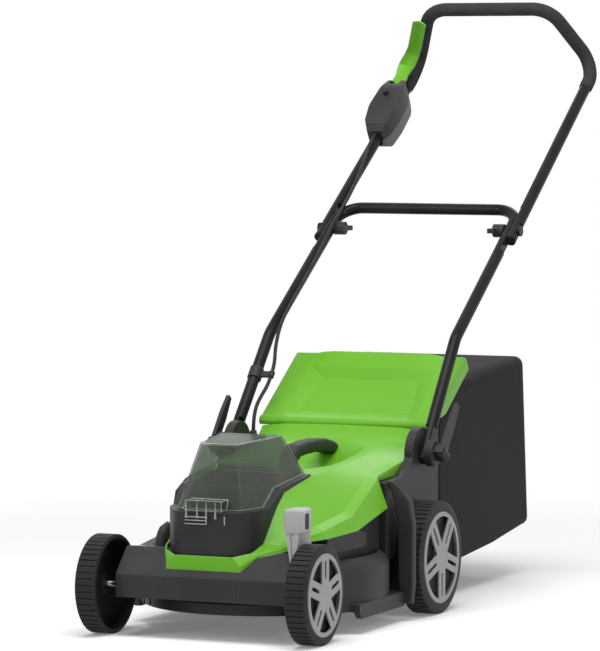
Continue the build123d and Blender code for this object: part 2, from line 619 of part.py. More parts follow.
blade = blade & rod_z(BLADE_R, 0, ROOF_Z, 0, BLADE_Y)
nodes["blade"] = blade - shaft_hole
nodes["blade_bolt"] = (rod_z(16, BLADE_Z - 2, BLADE_Z, 0, BLADE_Y)
                       + rod_z(9, BLADE_Z - BOLT_HEAD_T, BLADE_Z, 0, BLADE_Y))
board = block(-50, 50, 95, 150, ROOF_Z, ROOF_Z + 7)
cans = [rod_z(8, ROOF_Z + 7, ROOF_Z + 24, x, 108) for x in (-30, -8, 14)]
fins = [block(26, 46, 98 + 8 * k, 101 + 8 * k, ROOF_Z + 7, ROOF_Z + 20) for k in range(6)]
nodes["controller_board"] = board + cans + fins

# Hood sections, front to back: Y, half widths and heights of lower edge, ridge and top
HOOD_SECTIONS = [
    (-21, 61, 104, 60, 114, 48, 127),
    (-1, 80, 125, 78, 129, 70, 132),
    (8, 117, 133, 110, 138, 73, 136),
    (27, 128, 137, 121, 143, 76, 143),
    (64, 138, 145, 132, 152, 82, 195),
    (84, 157, 148, 150, 158, 85, 215),
    (171, 168, 152, 160, 173, 90, 232),
    (TOWER_FRONT_Y - 8, 170, 176, 153, 220, 95, 239),
    (TOWER_FRONT_Y, 168, 217, 152, 222, 96, 240),
    (WHEELBASE - 62, 168, 217.5, 150, 228, 98, 246),
    (WHEELBASE - 7, 165, 218, 147, 233, 98, 251),
    (WHEELBASE + 58, 156, 228, 143, 250, 98, 258),
    (WHEELBASE + 83, 152, 233, 141, 262, 98, 269),
    (WHEELBASE + 98.5, 150, 238, 141, 274, 100, 281),
]


def hood_outline(row, inset, drop):
    y, low_x, low_z, ridge_x, ridge_z, top_x, top_z = row
    half = [(low_x - inset, low_z - drop), (ridge_x - inset, ridge_z - inset),
            (top_x - inset / 2, top_z - inset)]
    return section(y, half + [(-x, z) for x, z in reversed(half)])


hood_outside = loft([hood_outline(row, 0, 0) for row in HOOD_SECTIONS], ruled=True)
inside_shift = [HOOD_WALL] * 3 + [1] + [0] * (len(HOOD_SECTIONS) - 5) + [1]
inside_rows = [(row[0] + shift,) + row[1:] for row, shift in zip(HOOD_SECTIONS, inside_shift)]
hood_inside = loft([hood_outline(row, HOOD_WALL, 2) for row in inside_rows], ruled=True)
bowl_outside = block(-BOWL_HALF_X - HOOD_WALL, BOWL_HALF_X + HOOD_WALL,
                     BOWL_Y0 - HOOD_WALL, BOWL_Y1 + HOOD_WALL, BOWL_FLOOR_Z - HOOD_WALL, REACH)
bowl_inside = block(-BOWL_HALF_X, BOWL_HALF_X, BOWL_Y0, BOWL_Y1, BOWL_FLOOR_Z, REACH)
tower_space = block(TOWER_IN_X, TOWER_IN_X + REACH, BOWL_Y0 - 1, TOWER_BACK_Y + REACH, 0, REACH)

# Battery housing and what it holds
HOUSING_PLAN = [(48, -17), (75, 19), (85, 82), (90, 172)]
HOUSING_RIM = [(-18, 191.5), (44, 195.5), (80, 222.5), (173, 235.5)]
LID_BASE = [(53, -5), (72, 44), (91, 85), (104, 185)]
LID_TOP = [(31, 31.5), (35.5, 62), (40, 92), (49.4, 155.6)]
LID_BASE_Z = 190.0
LID_TOP_FRONT_Z = 290.0
LID_TOP_RISE = 0.0403
HOUSING_ROUND = [35, 35, 0, 0]
LID_BASE_ROUND = [14, 14, 14, 0]
LID_TOP_ROUND = [9, 9, 9, 0]


def mirrored_plan(half, inset):
    right = [(x - inset, y) for x, y in half]
    right[0] = (right[0][0], right[0][1] + inset)
    right[-1] = (right[-1][0], right[-1][1] - inset)
    return right + [(-x, y) for x, y in reversed(right)]


def housing_plan(inset):
    points = [(x, y, HOUSING_FLOOR_Z) for x, y in mirrored_plan(HOUSING_PLAN, inset)]
    radii = [max(radius - inset, 0) for radius in HOUSING_ROUND]
    return extrude(rounded(points, radii + radii[::-1]), amount=REACH, dir=(0, 0, 1))


floor_line = [(HOUSING_BACK_Y + 1, HOUSING_STEP_Z), (140, HOUSING_STEP_Z), (60, HOUSING_FLOOR_Z),
              (HOUSING_FRONT_Y - 1, HOUSING_FLOOR_Z)]
housing_outside = housing_plan(0) & prism_x(HOUSING_RIM + floor_line, -REACH, REACH)
cavity_rim = [(y, z - HOUSING_WALL) for y, z in HOUSING_RIM]
cavity_floor = [(y, z + HOUSING_WALL) for y, z in floor_line]
housing_cavity = housing_plan(HOUSING_WALL) & prism_x(cavity_rim + cavity_floor, -REACH, REACH)


def lid_solid(inset, z_shift):
    base = [(x, y, LID_BASE_Z) for x, y in mirrored_plan(LID_BASE, inset)]
    top = [(x, y, LID_TOP_FRONT_Z + z_shift + LID_TOP_RISE * (y - LID_TOP[0][1]))
           for x, y in mirrored_plan(LID_TOP, inset)]
    base_radii = [max(radius - inset, 0) for radius in LID_BASE_ROUND]
    top_radii = [max(radius - inset, 0) for radius in LID_TOP_ROUND]
    faces = [rounded(base, base_radii + base_radii[::-1]), rounded(top, top_radii + top_radii[::-1])]
    return loft(faces, ruled=True)


lid_outside = lid_solid(0, 0)
lid_inside = lid_solid(LID_WALL, -LID_WALL)
below_rim = prism_x([(y, z + LID_GAP) for y, z in [(-60, 191.5)] + HOUSING_RIM[1:-1] + [(220, 242)]]
                    + [(220, 100), (-60, 100)], -140, 140)
lid_mouth = lid_solid(LID_WALL * 2.5, 0)
housing_ears = [block(s * 64 - 2.8, s * 64 + 2.8, HOUSING_BACK_Y - 3, LID_HINGE_Y, 233.5, LID_HINGE_Z - 1)
                + rod_x(LID_KNUCKLE_R, s * 64 - 2.8, s * 64 + 2.8, LID_HINGE_Y, LID_HINGE_Z) for s in (1, -1)]
pin_bore = rod_x(LID_PIN_R + RUN, -80, 80, LID_HINGE_Y, LID_HINGE_Z)
nodes["battery_housing"] = (housing_outside - housing_cavity - (lid_mouth & block(-90, 90, -8, 168, 150, 260))
                            + housing_ears[0] + housing_ears[1] - pin_bore)
knuckles = rod_x(LID_KNUCKLE_R, -60, 60, LID_HINGE_Y, LID_HINGE_Z)
knuckle_web = prism_x([(LID_HINGE_Y, LID_HINGE_Z + LID_KNUCKLE_R), (LID_HINGE_Y, LID_HINGE_Z),
                       (HOUSING_BACK_Y - 8, LID_HINGE_Z - 1), (HOUSING_BACK_Y - 8, LID_HINGE_Z + 5)], -60, 60)
tab_y = HOUSING_FRONT_Y - LID_GAP
rim_z = HOUSING_RIM[0][1]
finger_tab = (block(-TAB_HALF_X, TAB_HALF_X, tab_y - TAB_T, 8, rim_z + 1.2, rim_z + 18)
              + block(-TAB_HALF_X, TAB_HALF_X, tab_y - TAB_T, tab_y, rim_z - 20, rim_z + 8))
lid = lid_outside + finger_tab + knuckle_web - lid_inside - below_rim + knuckles
ear_space = [rod_x(12, s * 64 - 3.4, s * 64 + 3.4, LID_HINGE_Y, LID_HINGE_Z) for s in (1, -1)]
nodes["battery_lid"] = lid - ear_space[0] - ear_space[1] - pin_bore
nodes["lid_hinge_pin"] = rod_x(LID_PIN_R, -67, 67, LID_HINGE_Y, LID_HINGE_Z)
dock_back_y = HOUSING_BACK_Y - HOUSING_WALL
dock_floor_z = HOUSING_STEP_Z + HOUSING_WALL
docks = block(-DOCK_HALF_X, DOCK_HALF_X, 140, dock_back_y, dock_floor_z, DOCK_TOP_Z)
docks = docks + block(-DOCK_HALF_X, DOCK_HALF_X, DOCK_FRONT_Y, 140, dock_floor_z + 4, DOCK_TOP_Z)
docks = docks + block(-3, 3, 20, DOCK_FRONT_Y, dock_floor_z + 4, 186)
terminals = []
for s in (1, -1):
    bay = s * DOCK_BAY_X
    docks = docks - block(bay - 15, bay + 15, DOCK_FRONT_Y - 1, 142, 168, DOCK_TOP_Z + 1)
    docks = docks - block(bay - 20, bay + 20, 134, 142, 168, DOCK_TOP_Z + 1)
    for k in (-6, 6):
        terminals.append(block(bay + k - 0.8, bay + k + 0.8, 131, 142, 172, 190))
key_hole = block(KEY_X - 3, KEY_X + 3, KEY_Y - 5, KEY_Y + 5, DOCK_TOP_Z - 14, DOCK_TOP_Z + 1)
nodes["battery_docks"] = docks - key_hole
nodes["dock_terminals"] = group(*terminals)
key_head = block(KEY_X - 8, KEY_X + 8, KEY_Y - 4, KEY_Y + 4, DOCK_TOP_Z + 0.3, DOCK_TOP_Z + 24)
key_head = fillet(key_head.edges(), 2)
nodes["safety_key"] = key_head + block(KEY_X - 2.7, KEY_X + 2.7, KEY_Y - 3.5, KEY_Y + 3.5,
                                       DOCK_TOP_Z - 13.5, DOCK_TOP_Z + 6)

hood = hood_outside - hood_inside + (bowl_outside & hood_outside) - bowl_inside
nodes["hood"] = hood - housing_outside - tower_space - other_side(tower_space)


# Deck collar: a dark band under the hood's lower edge, with a set-back wall below it
def band_row(y, x, bottom_z, top_z):
    return section(y, [(x, top_z), (x, bottom_z), (x - COLLAR_W, bottom_z), (x - COLLAR_W, top_z)])


def wall_row(y, x, top_z):
    wall_x = x - COLLAR_W
    outer = [(wall_x, top_z), (wall_x, ROOF_Z - WALL)]
    return section(y, outer + [(wall_x - WALL, ROOF_Z - WALL), (wall_x - WALL, top_z)])


collar_rows = [(row[0], row[1] - 0.5, row[2]) for row in HOOD_SECTIONS[5:8]]
collar_end = (COLLAR_END_Y, collar_rows[1][1], collar_rows[1][2] - 6)
band = loft([band_row(y, x, COLLAR_BOTTOM_Z, z) for y, x, z in collar_rows[:2] + [collar_end]], ruled=True)
inner_wall = loft([wall_row(y, x, z) for y, x, z in collar_rows], ruled=True)
collar = band + inner_wall
deck = deck + collar + other_side(collar)
nodes["deck_shell"] = deck - hood_outside - housing_outside

# Carry handle across the finger bowl
carry_y0 = BOWL_Y0 - 24
carry_y1 = BOWL_Y1 + 36
carry = prism_x([
    (carry_y0, 238), (carry_y0, 250), (carry_y0 + 16, 262), (carry_y0 + 60, 268), (carry_y1 - 50, 270),
    (carry_y1 - 12, 272), (carry_y1, 268), (carry_y1, 255), (BOWL_Y1 + 6, 250), (BOWL_Y1 - 14, 252),
    (BOWL_Y0 + 14, 249), (BOWL_Y0 - 4, 238),
], -CARRY_W / 2, CARRY_W / 2)
long_edges = [e for e in carry.edges() if abs(e.center().X) > CARRY_W / 2 - 0.1 and e.center().Z > 248]
nodes["carry_handle"] = fillet(long_edges, 4) - hood_outside

# Rear flap
flap_run = math.hypot(FLAP_TIP_Y - FLAP_HINGE_Y, FLAP_TIP_Z - FLAP_HINGE_Z)
flap_dy = (FLAP_TIP_Y - FLAP_HINGE_Y) / flap_run
flap_dz = (FLAP_TIP_Z - FLAP_HINGE_Z) / flap_run


def on_flap(along, above):
    return (FLAP_HINGE_Y + along * flap_dy - above * flap_dz,
            FLAP_HINGE_Z + along * flap_dz + above * flap_dy)


flap = prism_x([on_flap(0, 3), on_flap(flap_run, 3), on_flap(flap_run, 3 - FLAP_T), on_flap(0, 3 - FLAP_T)],
               -FLAP_HALF_X, FLAP_HALF_X)
frame_rib = prism_x([on_flap(18, 3), on_flap(flap_run, 3), on_flap(flap_run, RECESS_LIFT - 2),
                     on_flap(24, 6)], -FLAP_HALF_X, FLAP_HALF_X)


def flap_level(above, half_x, start, end):
    """A rectangle that lies parallel to the flap."""
    y, z = on_flap((start + end) / 2, above)
    plane = Plane(origin=(0, y, z), x_dir=(1, 0, 0), z_dir=(0, -flap_dz, flap_dy))
    return plane * Rectangle(2 * half_x, end - start)


recess = loft([
    flap_level(3.01, RECESS_HALF_X, -20, flap_run - 2.6 * RECESS_SLOPE),
    flap_level(RECESS_LIFT, RECESS_HALF_X + RECESS_SLOPE, -20, flap_run - 1.4 * RECESS_SLOPE),
], ruled=True)
flap = flap + frame_rib - recess
flap = flap + prism_x([on_flap(flap_run - 12, RECESS_LIFT - 4), on_flap(flap_run - 5, RECESS_LIFT + 3),
                       on_flap(flap_run, RECESS_LIFT + 3), on_flap(flap_run, 3)], -95, 95)
skirt = prism_x([on_flap(30, 0), on_flap(flap_run - 2, 0), on_flap(flap_run - 8, -SKIRT_H),
                 on_flap(52, -SKIRT_H * 0.6)], FLAP_HALF_X - SKIRT_T, FLAP_HALF_X)
flap = flap + skirt + other_side(skirt)
flap = flap + rod_x(FLAP_KNUCKLE_R, -FLAP_HALF_X, FLAP_HALF_X, FLAP_HINGE_Y, FLAP_HINGE_Z)
for x in FLAP_EAR_X:
    flap = flap - block(x - ear_half - 0.5, x + ear_half + 0.5, FLAP_HINGE_Y - 12, FLAP_HINGE_Y + 12,
                        FLAP_HINGE_Z - 14, FLAP_HINGE_Z + 18)
nodes["rear_flap"] = flap - flap_rod_bore
nodes["flap_hinge_rod"] = rod_x(FLAP_ROD_R, -FLAP_HALF_X, FLAP_HALF_X, FLAP_HINGE_Y, FLAP_HINGE_Z)


# Grass bag: rounded fabric shell behind a stiff mouth frame
def bag_section(low, high, half_x, inset):
    low_y, low_z = low
    high_y, high_z = high
    height = math.hypot(high_y - low_y, high_z - low_z)
    up = (0, (high_y - low_y) / height, (high_z - low_z) / height)
    plane = Plane(origin=(0, (low_y + high_y) / 2, (low_z + high_z) / 2), x_dir=(1, 0, 0),
                  z_dir=(0, -up[2], up[1]))
    return plane * RectangleRounded(2 * (half_x - inset), height - 2 * inset, BAG_CORNER - inset)


BAG_SECTIONS = [
    ((BAG_FRAME_Y, 62), (BAG_FRAME_Y, 294), BAG_FRAME_HALF_X),
    ((BAG_FRAME_Y + 80, 54), (BAG_FRAME_Y + 68, 341), BAG_FRAME_HALF_X + 5),
    ((BAG_FRAME_Y + 240, 67), (BAG_FRAME_Y + 216, 356), BAG_FRAME_HALF_X + 7),
    ((BAG_FRAME_Y + 380, 84), (BAG_FRAME_Y + 354, 364), BAG_FRAME_HALF_X + 7),
    ((BAG_FRAME_Y + 393, 96), (BAG_FRAME_Y + 367, 354), BAG_FRAME_HALF_X - 5),
]
bag_outside = loft([bag_section(low, high, half, 0) for low, high, half in BAG_SECTIONS], ruled=True)
bag_inner_rows = [((BAG_FRAME_Y - 1, 62), (BAG_FRAME_Y - 1, 294), BAG_FRAME_HALF_X)] + BAG_SECTIONS[1:-1]
bag_inside = loft([bag_section(low, high, half, BAG_WALL) for low, high, half in bag_inner_rows], ruled=True)
nodes["grass_bag"] = bag_outside - bag_inside
frame_profile = [(BAG_MOUTH_Y, 70), (BAG_FRAME_Y, 62), (BAG_FRAME_Y, 294), (BAG_MOUTH_Y, 266)]
frame_hole = [(BAG_MOUTH_Y - 1, 78), (BAG_FRAME_Y + 1, 70), (BAG_FRAME_Y + 1, 286), (BAG_MOUTH_Y - 1, 258)]
nodes["bag_frame"] = (prism_x(frame_profile, -BAG_FRAME_HALF_X, BAG_FRAME_HALF_X)
                      - prism_x(frame_hole, 8 - BAG_FRAME_HALF_X, BAG_FRAME_HALF_X - 8))
loop_y0 = BAG_FRAME_Y + 110
loop_y1 = loop_y0 + 12
loop = block(-34, 34, loop_y0, loop_y1, 340, 384) - block(-24, 24, loop_y0 - 1, loop_y1 + 1, 330, 374)
nodes["bag_handle"] = fillet(loop.edges().filter_by(Axis.Y).group_by(Axis.Z)[-1], 6) - bag_outside

# Lower handle
lower_dir_y = LOWER_BEND[1] - PIVOT_Y
lower_dir_z = LOWER_BEND[2] - PIVOT_Z
lower_run = math.hypot(lower_dir_y, lower_dir_z)
lower_dy = lower_dir_y / lower_run
lower_dz = lower_dir_z / lower_run
lower_tail = 15.0
lower_foot = (LOWER_END_X, PIVOT_Y - lower_tail * lower_dy, PIVOT_Z - lower_tail * lower_dz)
lower_half = [lower_foot, LOWER_BEND, LOWER_CORNER]
lower = bent_bar(both_sides(lower_half), [LOWER_BEND_R, LOWER_CORNER_R, LOWER_CORNER_R, LOWER_BEND_R], TUBE_R)
leg_slope = (LOWER_CORNER[2] - LOWER_BEND[2]) / (LOWER_CORNER[1] - LOWER_BEND[1])
knob_z = LOWER_BEND[2] + (KNOB_Y - LOWER_BEND[1]) * leg_slope
disc_in_x = LOWER_END_X + 6
pivot_flat = (rod_x(lower_tail + 36, 0, TOWER_OUT_X + LEG_GAP, PIVOT_Y, PIVOT_Z)
              + rod_x(lower_tail + 36, disc_in_x, disc_in_x + 30, PIVOT_Y, PIVOT_Z)
              + rod_x(BOLT_R, 0, 220, PIVOT_Y, PIVOT_Z))
knob_flat = (rod_x(FLAT_ZONE, LEG_SPLIT_X - LEG_GAP / 2, 200, KNOB_Y, knob_z)
             + rod_x(WING_HUB_R + 4, 100, FLAT_IN_X, KNOB_Y, knob_z)
             + rod_x(BOLT_R + RUN, 100, 200, KNOB_Y, knob_z))
lower = lower - pivot_flat - other_side(pivot_flat) - knob_flat - other_side(knob_flat)
nodes["lower_handle"] = lower

# Upper handle with its foam grip
upper_dy = UPPER_WIDE[1] - KNOB_Y
upper_dz = UPPER_WIDE[2] - knob_z
upper_run = math.hypot(upper_dy, upper_dz)
leg_y = upper_dy / upper_run
leg_z = upper_dz / upper_run


def upper_leg_x(along):
    return UPPER_END_X + (UPPER_WIDE[0] - UPPER_END_X) * along / upper_run


def on_upper_leg(along):
    return (upper_leg_x(along), KNOB_Y + along * leg_y, knob_z + along * leg_z)


upper_half = [on_upper_leg(-UPPER_TAIL), UPPER_WIDE, UPPER_TOP]
upper_radii = [UPPER_WIDE_R, UPPER_TOP_R, UPPER_TOP_R, UPPER_WIDE_R]
upper = bent_bar(both_sides(upper_half), upper_radii, TUBE_R)
upper_flat = (rod_x(FLAT_ZONE, 100, LEG_SPLIT_X + LEG_GAP / 2, KNOB_Y, knob_z)
              + rod_x(BOLT_HEAD_R + 6, FLAT_OUT_X, 220, KNOB_Y, knob_z)
              + rod_x(BOLT_R, 100, 220, KNOB_Y, knob_z))
nodes["upper_handle"] = upper - upper_flat - other_side(upper_flat)
grip_half = [on_upper_leg(upper_run - GRIP_LEG), UPPER_WIDE, UPPER_TOP]
grip = bent_bar(both_sides(grip_half), upper_radii, GRIP_R)
nodes["grip_sleeve"] = grip - bent_bar(both_sides(upper_half), upper_radii, TUBE_R + GRIP_GAP)

# Fold bolts with wing knobs
bolt = rod_x(BOLT_R, WING_TIP_X + 8, FLAT_OUT_X + 1, KNOB_Y, knob_z)
bolt = bolt + rod_x(BOLT_HEAD_R, FLAT_OUT_X, FLAT_OUT_X + 5, KNOB_Y, knob_z)
nodes["handle_bolts"] = group(bolt, other_side(bolt))
wing_in = FLAT_IN_X - LEG_GAP
wing_knob = rod_x(WING_HUB_R, WING_TIP_X + 5, wing_in, KNOB_Y, knob_z)
wings = prism_x([(KNOB_Y - WING_SPAN, knob_z - 4), (KNOB_Y + WING_SPAN, knob_z - 4),
                 (KNOB_Y + WING_SPAN, knob_z + 4), (KNOB_Y - WING_SPAN, knob_z + 4)],
                WING_TIP_X, WING_TIP_X + 13)
wings = fillet(wings.edges().filter_by(Axis.Z), 3.9)
wing_knob = wing_knob + wings - rod_x(BOLT_R + RUN, WING_TIP_X + 7.5, wing_in + 1, KNOB_Y, knob_z)
pair("wing_knob", wing_knob)

# Pivot clamps and cam levers at the foot of the handle
ear_plane = Plane(origin=(DISC_OUT_X, PIVOT_Y, PIVOT_Z), x_dir=(0, lower_dy, lower_dz), z_dir=(1, 0, 0))
cam_half = CAM_W / 2
ear_t = 3.5
ear_height = CAM_X - DISC_OUT_X + CAM_PIN_R + 2
disc = rod_x(DISC_R, disc_in_x, DISC_OUT_X, PIVOT_Y, PIVOT_Z)
disc_rim = [e for e in disc.edges() if abs(e.center().X - DISC_OUT_X) < 0.1]
disc = fillet(disc_rim, 3)
clamp = disc + rod_x(BOLT_R, nut_pocket_x - 5, disc_in_x + 1, PIVOT_Y, PIVOT_Z)
clamp = clamp + rod_x(PIVOT_NUT_R, nut_pocket_x - 5.5, nut_pocket_x - LEG_GAP, PIVOT_Y, PIVOT_Z)
for s in (1, -1):
    clamp = clamp + ear_plane * (Pos(0, s * (cam_half + LEG_GAP + ear_t / 2), ear_height / 2 - 1)
                                 * Box(12, ear_t, ear_height + 2))
cam_axis = Plane(origin=(CAM_X, PIVOT_Y, PIVOT_Z), x_dir=(1, 0, 0), z_dir=(0, -lower_dz, lower_dy))
clamp = clamp + cam_axis * Cylinder(CAM_PIN_R, CAM_W + 2 * ear_t)
pair("pivot_clamp", clamp)
cam_fin = ear_plane * (Pos(0, 0, CAM_X - DISC_OUT_X - 3) * extrude(
    make_face(Polyline((0, -cam_half), (CAM_LENGTH * 0.6, -cam_half), (CAM_LENGTH, -cam_half * 0.5),
                       (CAM_LENGTH, cam_half * 0.5), (CAM_LENGTH * 0.6, cam_half), (0, cam_half),
                       close=True)),
    amount=6))
cam = cam_axis * Cylinder(CAM_R, CAM_W) + cam_fin - cam_axis * Cylinder(CAM_PIN_R + RUN, CAM_W + 2)
pair("cam_lever", cam)

# Switch box on the right leg, in two halves round the tube
box_along = upper_run - BOX_FROM_WIDE
box_x, box_y, box_z = on_upper_leg(box_along)
box_plane = Plane(origin=(-box_x, box_y, box_z), x_dir=(0, leg_y, leg_z), z_dir=(0, -leg_z, leg_y))


def box_point(u, v, w):
    """A point of the switch box: along the leg, outwards and above the leg."""
    return (-box_x - v, box_y + u * leg_y - w * leg_z, box_z + u * leg_z + w * leg_y)


def box_block(u0, u1, v0, v1, w0, w1):
    return box_plane * block(u0, u1, v0, v1, w0, w1)


def box_shell(profile):
    """A half of the box: a side profile of (u, w) points, drawn in towards both ends."""
    half = [(-BOX_HALF_LENGTH, BOX_HALF_W - 10), (-BOX_HALF_LENGTH + 18, BOX_HALF_W - 3), (-10, BOX_HALF_W),
            (BOX_HALF_LENGTH - 24, BOX_HALF_W - 2), (BOX_HALF_LENGTH, BOX_HALF_W - 9)]
    plan = prism_z(half + [(u, -v) for u, v in reversed(half)], -REACH, REACH)
    side = extrude(make_face(Polyline(*[(u, -BOX_HALF_W, w) for u, w in profile], close=True)),
                   amount=2 * BOX_HALF_W, dir=(0, 1, 0))
    return box_plane * (plan & side)


bore = box_plane * (Rot(0, 90, 0) * Cylinder(TUBE_R + BOX_BORE_GAP, 4 * BOX_HALF_LENGTH))
upper_shell = box_shell([
    (-BOX_HALF_LENGTH, 0), (-BOX_HALF_LENGTH, BOX_TOP - 18), (-BOX_HALF_LENGTH + 10, BOX_TOP - 9),
    (-18, BOX_TOP - 2), (26, BOX_TOP), (BOX_HALF_LENGTH - 10, BOX_TOP - 5), (BOX_HALF_LENGTH, BOX_TOP - 13),
    (BOX_HALF_LENGTH, 0),
])
lower_shell = box_shell([
    (-BOX_HALF_LENGTH, 0), (BOX_HALF_LENGTH, 0), (BOX_HALF_LENGTH - 4, 4 - BOX_BOTTOM),
    (BOX_HALF_LENGTH - 12, -BOX_BOTTOM),
    (12 - BOX_HALF_LENGTH, -BOX_BOTTOM), (4 - BOX_HALF_LENGTH, 4 - BOX_BOTTOM),
])
cavity = box_block(-BOX_HALF_LENGTH + 18, BOX_HALF_LENGTH - 28, -BOX_HALF_W + 7, BOX_HALF_W - 7,
                   TUBE_R + BOX_WALL + 1, BOX_TOP - BOX_WALL - 7)
bail_slot = box_block(BAIL_U - 13, BOX_HALF_LENGTH + 1, -BAIL_STEM_W / 2 - 5, BAIL_STEM_W / 2 + 2,
                      TUBE_R + BOX_WALL, BOX_TOP + 1)
button_plane = Plane(origin=box_point(BUTTON_U, 0, BOX_TOP), x_dir=(1, 0, 0), z_dir=(0, -leg_z, leg_y))
button_bore = button_plane * Cylinder(BUTTON_R + LEG_GAP, 22)
bail_y, bail_z = box_point(BAIL_U, 0, BAIL_W)[1:]
bail_pin_x = BOX_HALF_W - 10
bail_bore = rod_x(BAIL_PIN_R + RUN, -box_x - bail_pin_x - 1, -box_x + bail_pin_x + 1, bail_y, bail_z)
cable_bore = box_plane * (Pos(-BOX_HALF_LENGTH, 0, CABLE_OFFSET) * Rot(0, 90, 0)
                          * Cylinder(CABLE_R + LEG_GAP, 12))
nodes["switch_box_upper"] = upper_shell - bore - cavity - bail_slot - button_bore - bail_bore - cable_bore
nodes["switch_box_lower"] = lower_shell - bore
nodes["lock_button"] = (button_plane * (Pos(0, 0, -4) * Cylinder(BUTTON_R, 19))
                        + button_plane * (Pos(0, 0, -12.5) * Cylinder(BUTTON_R + 2.5, 2)))
nodes["bail_pin"] = rod_x(BAIL_PIN_R, -box_x - bail_pin_x, -box_x + bail_pin_x, bail_y, bail_z)


# Bail lever: a stem on the pin, then a shallow trough that follows the bend of the handle
def bail_path_point(share, stand):
    """A point in front of the handle's right arm, from its widest place to its top."""
    x, y, z = middle(UPPER_WIDE, UPPER_TOP, share)
    return (-x, y - stand, z)


def trough(origin, direction, width):
    """The trough's section: an arc of sheet, hollow towards the front."""
    plane = Plane(origin=origin, x_dir=(1, 0, 0), z_dir=direction)
    half_turn = math.asin(width / 2 / BAIL_CURVE_R)
    rise = BAIL_CURVE_R * (1 - math.cos(half_turn))
    thin = BAIL_T / BAIL_CURVE_R
    back = ThreePointArc((-width / 2, -rise), (0, 0), (width / 2, -rise))
    edge = -rise - BAIL_T
    front = ThreePointArc((width / 2, edge), (0, -BAIL_T * (1 + thin)), (-width / 2, edge))
    return plane * make_face([back, Line(back @ 1, front @ 0), front, Line(front @ 1, back @ 0)])


bail_foot = (-box_x, bail_y, bail_z)
bail_low = bail_path_point(0.05, BAIL_STAND * 1.5)
bail_mid = bail_path_point(0.34, BAIL_STAND)
bail_tip = bail_path_point(0.8, BAIL_STAND)
bail_line = FilletPolyline(middle(bail_foot, bail_low, 0.55), bail_low, bail_mid, bail_tip, radius=[28, 40])
bail_stations = [0.0, 0.2, 0.4, 0.55, 0.7, 0.85, 1.0]
bail_widths = [BAIL_STEM_W] + [BAIL_WIDTH] * (len(bail_stations) - 1)
troughs = [trough(bail_line @ t, bail_line % t, width) for t, width in zip(bail_stations, bail_widths)]
stem_dir = Vector(*bail_low) - Vector(*bail_foot)
stem_start = Plane(origin=bail_foot, x_dir=(1, 0, 0), z_dir=stem_dir)
stem_end = Plane(origin=middle(bail_foot, bail_low, 0.75), x_dir=(1, 0, 0), z_dir=stem_dir)
stem_faces = [stem_start * Rectangle(BAIL_STEM_W, BAIL_STEM_T),
              stem_end * Pos(0, -BAIL_T) * Rectangle(BAIL_STEM_W, BAIL_T)]
bail_hub = rod_x(BAIL_STEM_T / 2 + 1.5, -box_x - BAIL_STEM_W / 2, -box_x + BAIL_STEM_W / 2, bail_y, bail_z)
bail = loft(troughs, ruled=True) + loft(stem_faces, ruled=True) + bail_hub
nodes["bail_lever"] = bail - rod_x(BAIL_PIN_R + RUN, -box_x - BAIL_WIDTH, -box_x + BAIL_WIDTH, bail_y, bail_z)

# Power cable along the right leg, in one stretch for each piece that carries it
lower_leg_run = math.hypot(LOWER_CORNER[1] - LOWER_BEND[1], LOWER_CORNER[2] - LOWER_BEND[2])
low_y = (LOWER_CORNER[1] - LOWER_BEND[1]) / lower_leg_run
low_z = (LOWER_CORNER[2] - LOWER_BEND[2]) / lower_leg_run


def by_upper_leg(along, side, lift):
    """A point of the route beside the upper right leg: along it, inwards and above it."""
    x, y, z = on_upper_leg(along)
    return (side - x, y - lift * leg_z, z + lift * leg_y)


def by_lower_leg(along, side, lift):
    """A point of the route beside the lower right leg, measured from its bend."""
    x = LOWER_BEND[0] + (LOWER_CORNER[0] - LOWER_BEND[0]) * along / lower_leg_run
    return (side - x, LOWER_BEND[1] + along * low_y - lift * low_z,
            LOWER_BEND[2] + along * low_z + lift * low_y)


def by_foot(down, x, front):
    """A point of the route beside the handle's foot: down from the bend, at one X, in front of the tube."""
    return (x, LOWER_BEND[1] - down * lower_dy - front * lower_dz,
            LOWER_BEND[2] - down * lower_dz + front * lower_dy)


def foot_x(down):
    """Where the lower handle's right leg stands below its bend."""
    return -LOWER_BEND[0] - (LOWER_END_X - LOWER_BEND[0]) * down / (lower_run + lower_tail)


def cable_stretch(points):
    """A round cable along its points, with arcs as large as the runs allow."""
    radii = []
    for before, at, after in zip(points, points[1:], points[2:]):
        run_in = Vector(*at) - Vector(*before)
        run_out = Vector(*after) - Vector(*at)
        turn = math.radians(run_in.get_angle(run_out))
        radii.append(0.45 * min(run_in.length, run_out.length) / math.tan(turn / 2))
    print("cable radii", [round(radius) for radius in radii])
    return bent_bar(points, radii, CABLE_R)


cable_route = [
    box_point(5 - BOX_HALF_LENGTH, 0, CABLE_OFFSET),
    box_point(-BOX_HALF_LENGTH - 30, 0, CABLE_OFFSET),
    by_upper_leg(175, 9, 12),
    by_upper_leg(118, 15, 10.5),
    by_upper_leg(62, 20, 13),
    by_upper_leg(8, 22, 17),
    by_lower_leg(235, 13.5, 14.5),
    by_lower_leg(180, 12.5, 9.5),
    by_lower_leg(120, 12.5, 8),
    by_lower_leg(62, 13, 8.5),
    by_lower_leg(14, 15.5, 8),
    by_foot(28, -144, 3),
    by_foot(CLIP_DOWN - 20, CLIP_CABLE_X, -CLIP_CABLE_FRONT),
    by_foot(CLIP_DOWN + 20, CLIP_CABLE_X, -CLIP_CABLE_FRONT),
    (GLAND_X - 2, GLAND_Y + 30, GLAND_TOP_Z + 50),
    (GLAND_X - 0.5, GLAND_Y + 9, GLAND_TOP_Z + 35),
    (GLAND_X, GLAND_Y, GLAND_TOP_Z + 13),
    (GLAND_X, GLAND_Y, GLAND_TOP_Z - 1),
]
CUT_UPPER, CUT_LOWER, CUT_DECK = 4, 7, 13


